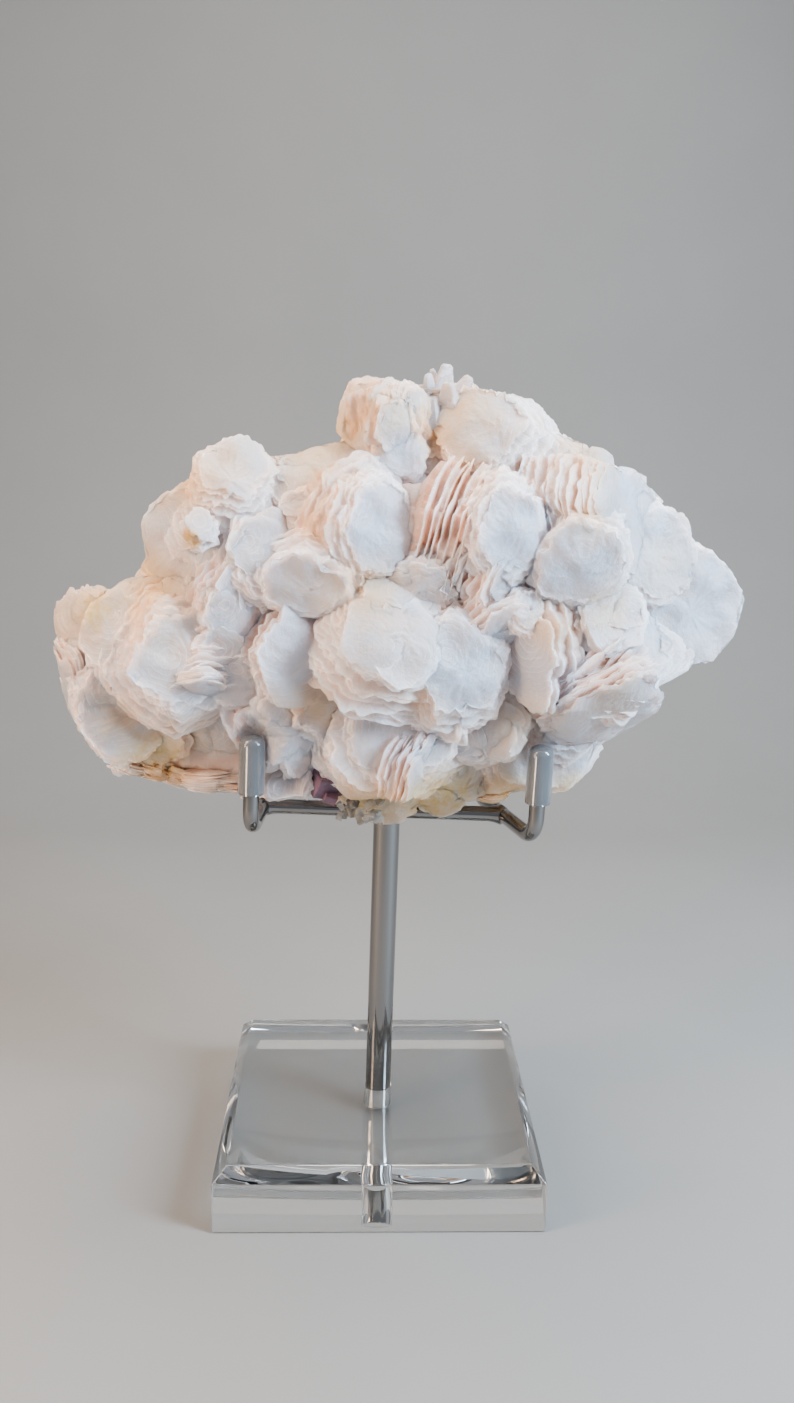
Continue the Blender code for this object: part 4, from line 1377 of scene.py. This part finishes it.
def body_swelling(bm, spec):
    """A flattened ball that fills the inside of one rosette and reaches back to the slab."""
    right, up, out = facing(spec.turn, spec.tilt)
    size = spec.radius * SWELLING
    depth = spec.depth * 0.62
    centre = spec.centre - out * (spec.depth * 0.66 + KINDS[spec.kind].bow * spec.radius * 0.4)
    columns = right * size * spec.width, up * size, out * depth
    pose = Matrix([[*column] for column in columns]).transposed().to_4x4()
    pose.translation = Vector(centre)
    pose = Matrix.Scale(MM, 4) @ pose
    bmesh.ops.create_icosphere(bm, subdivisions=3, radius=1.0, matrix=pose)


def build_body():
    bm = bmesh.new()
    body_slab(bm)
    for region, group in CLUSTER.items():
        if region.endswith("rosettes"):
            for spec in group:
                body_swelling(bm, spec)
    body = bpy.data.objects.new("body", to_mesh("body", bm))
    bpy.context.scene.collection.objects.link(body)
    remesh = body.modifiers.new("remesh", "REMESH")
    remesh.mode = "VOXEL"
    remesh.voxel_size = BODY_VOXEL * MM
    soften = body.modifiers.new("soften", "SMOOTH")
    soften.iterations = 3
    bake_modifiers(body)
    mesh = body.data
    count = len(mesh.vertices)
    places = np.empty(count * 3, dtype=np.float32)
    normals = np.empty(count * 3, dtype=np.float32)
    mesh.vertices.foreach_get("co", places)
    mesh.vertex_normals.foreach_get("vector", normals)
    places, normals = places.reshape(-1, 3) / MM, normals.reshape(-1, 3)
    rough = np.array([noise.fractal(Vector(place) / 4.0, 0.7, 2.0, 4) for place in places])
    places = places + normals * rough[:, None] * BODY_ROUGHNESS
    faces = [tuple(polygon.vertices) for polygon in mesh.polygons]
    bpy.data.objects.remove(body)
    # Painted shade for the body, stored as its gap value: browner towards its front, which lies deep between
    # the rosettes, and in its dents.
    shade = np.clip((6.0 - places[:, 1]) / 12.0, 0.1, 0.85) * np.clip(0.8 - rough, 0.4, 1.0)
    depth_lines = places[:, 1] * LINES_PER_MM
    finish_calcite("matrix_body", places, faces, shade, np.zeros(count), depth_lines, ["calcite_cluster"])


build_body()

# %% [markdown]
# ## Small crystals beside the rosettes
# At the lower edge, left of the middle, a violet crystal with flat faces sits in a patch of colourless
# quartz. A last white crystal stands on the very top. They are faceted blocks with small steps on their faces.

# %% Cut the violet, clear and white crystals
CRYSTAL_BEVEL = 0.06
PEAK_TIP_SHARE = 0.35


def crystal_mesh(name, blocks, tip_share=1.0):
    """Boxes that pierce each other, each turned its own way, with fine bevels and tips drawn in."""
    bm = bmesh.new()
    for centre, size, turns in blocks:
        part = bmesh.new()
        bmesh.ops.create_cube(part, size=1.0)
        for corner in part.verts:
            if corner.co.z > 0:
                corner.co.x *= tip_share
                corner.co.y *= tip_share
        bmesh.ops.bevel(part, geom=part.edges[:], offset=CRYSTAL_BEVEL, segments=1, profile=0.5,
                        affect="EDGES")
        spin = Matrix.Identity(4)
        for turn, axis in zip(reversed(turns), "ZYX"):
            spin = spin @ Matrix.Rotation(math.radians(turn), 4, axis)
        scale = Matrix.Diagonal((*[value * MM for value in size], 1))
        part.transform(Matrix.Translation(point(*centre)) @ spin @ scale)
        mesh = to_mesh("part", part)
        bm.from_mesh(mesh)
        bpy.data.meshes.remove(mesh)
    return to_mesh(name, bm)


def crystal_finish(name, colour, transmission, roughness, density):
    material, shader, tree = principled(name)
    place = own_place(tree)
    tone = scaled(tree, noise_of(tree, place, 260.0), 0.35, 0.65)
    pale = tuple(min(value * 1.5, 1.0) for value in colour)
    tree.links.new(mixed(tree, tone, colour, pale), shader.inputs["Base Color"])
    relief(tree, shader, noise_of(tree, place, 500.0), 0.3, 0.0006)
    settle(shader, Transmission_Weight=transmission, Roughness=roughness, IOR=1.45, Subsurface_Weight=density,
           Subsurface_Scale=0.002)
    return material


violet_blocks = (
    ((-18, -17, 130), (7.5, 7, 7), (24, 12, 28)), ((-14.5, -15, 129), (6, 5, 6), (40, -20, -20)),
    ((-19, -16, 134), (5, 5, 5), (10, 30, 50)), ((-16, -19, 126.5), (4, 4, 3), (30, 20, 10)),
)
violet = crystal_finish("violet_fluorite", (0.27, 0.18, 0.24, 1), 0.20, 0.22, 0.2)
add_piece("violet_crystal", crystal_mesh("violet_crystal", violet_blocks), violet)

draw = random.Random(11)
clear_blocks = []
for index in range(16):
    centre = (draw.uniform(-16, -1), draw.uniform(-20, -15), draw.uniform(118.5, 125))
    size = [draw.uniform(1.6, 3.6) for _ in range(3)]
    clear_blocks.append((centre, size, [draw.uniform(0, 90) for _ in range(3)]))
quartz = crystal_finish("colourless_quartz", (0.62, 0.60, 0.56, 1), 0.7, 0.08, 0.0)
add_piece("quartz_crystals", crystal_mesh("quartz_crystals", clear_blocks), quartz)

peak_blocks = (
    ((16, -7, 247), (8.5, 4.5, 13), (8, 6, 20)), ((20.5, -7, 245), (7.5, 4.5, 12), (-12, 30, -25)),
    ((12, -8, 245), (7.0, 4.0, 12), (10, -24, 50)), ((17.5, -11, 243), (9.0, 5.0, 11), (22, 10, -40)),
    ((24, -8, 242), (7.0, 4.0, 10), (-10, 44, 15)), ((14.5, -4, 247), (5.5, 3.5, 11), (-18, -8, 75)),
    ((19, -8, 240), (14, 9, 9), (12, 8, 30)), ((13, -9, 240), (10, 8, 9), (6, -14, 65)),
)
peak_mesh = crystal_mesh("peak_crystal", peak_blocks, PEAK_TIP_SHARE)
for name in ("gap", "rim", "layer", *PATCHES):
    store(peak_mesh, name, np.zeros(len(peak_mesh.vertices)))
add_piece("peak_crystal", peak_mesh, calcite)
print("crystals:", len(violet_blocks), "violet,", len(clear_blocks), "clear,", len(peak_blocks), "white")
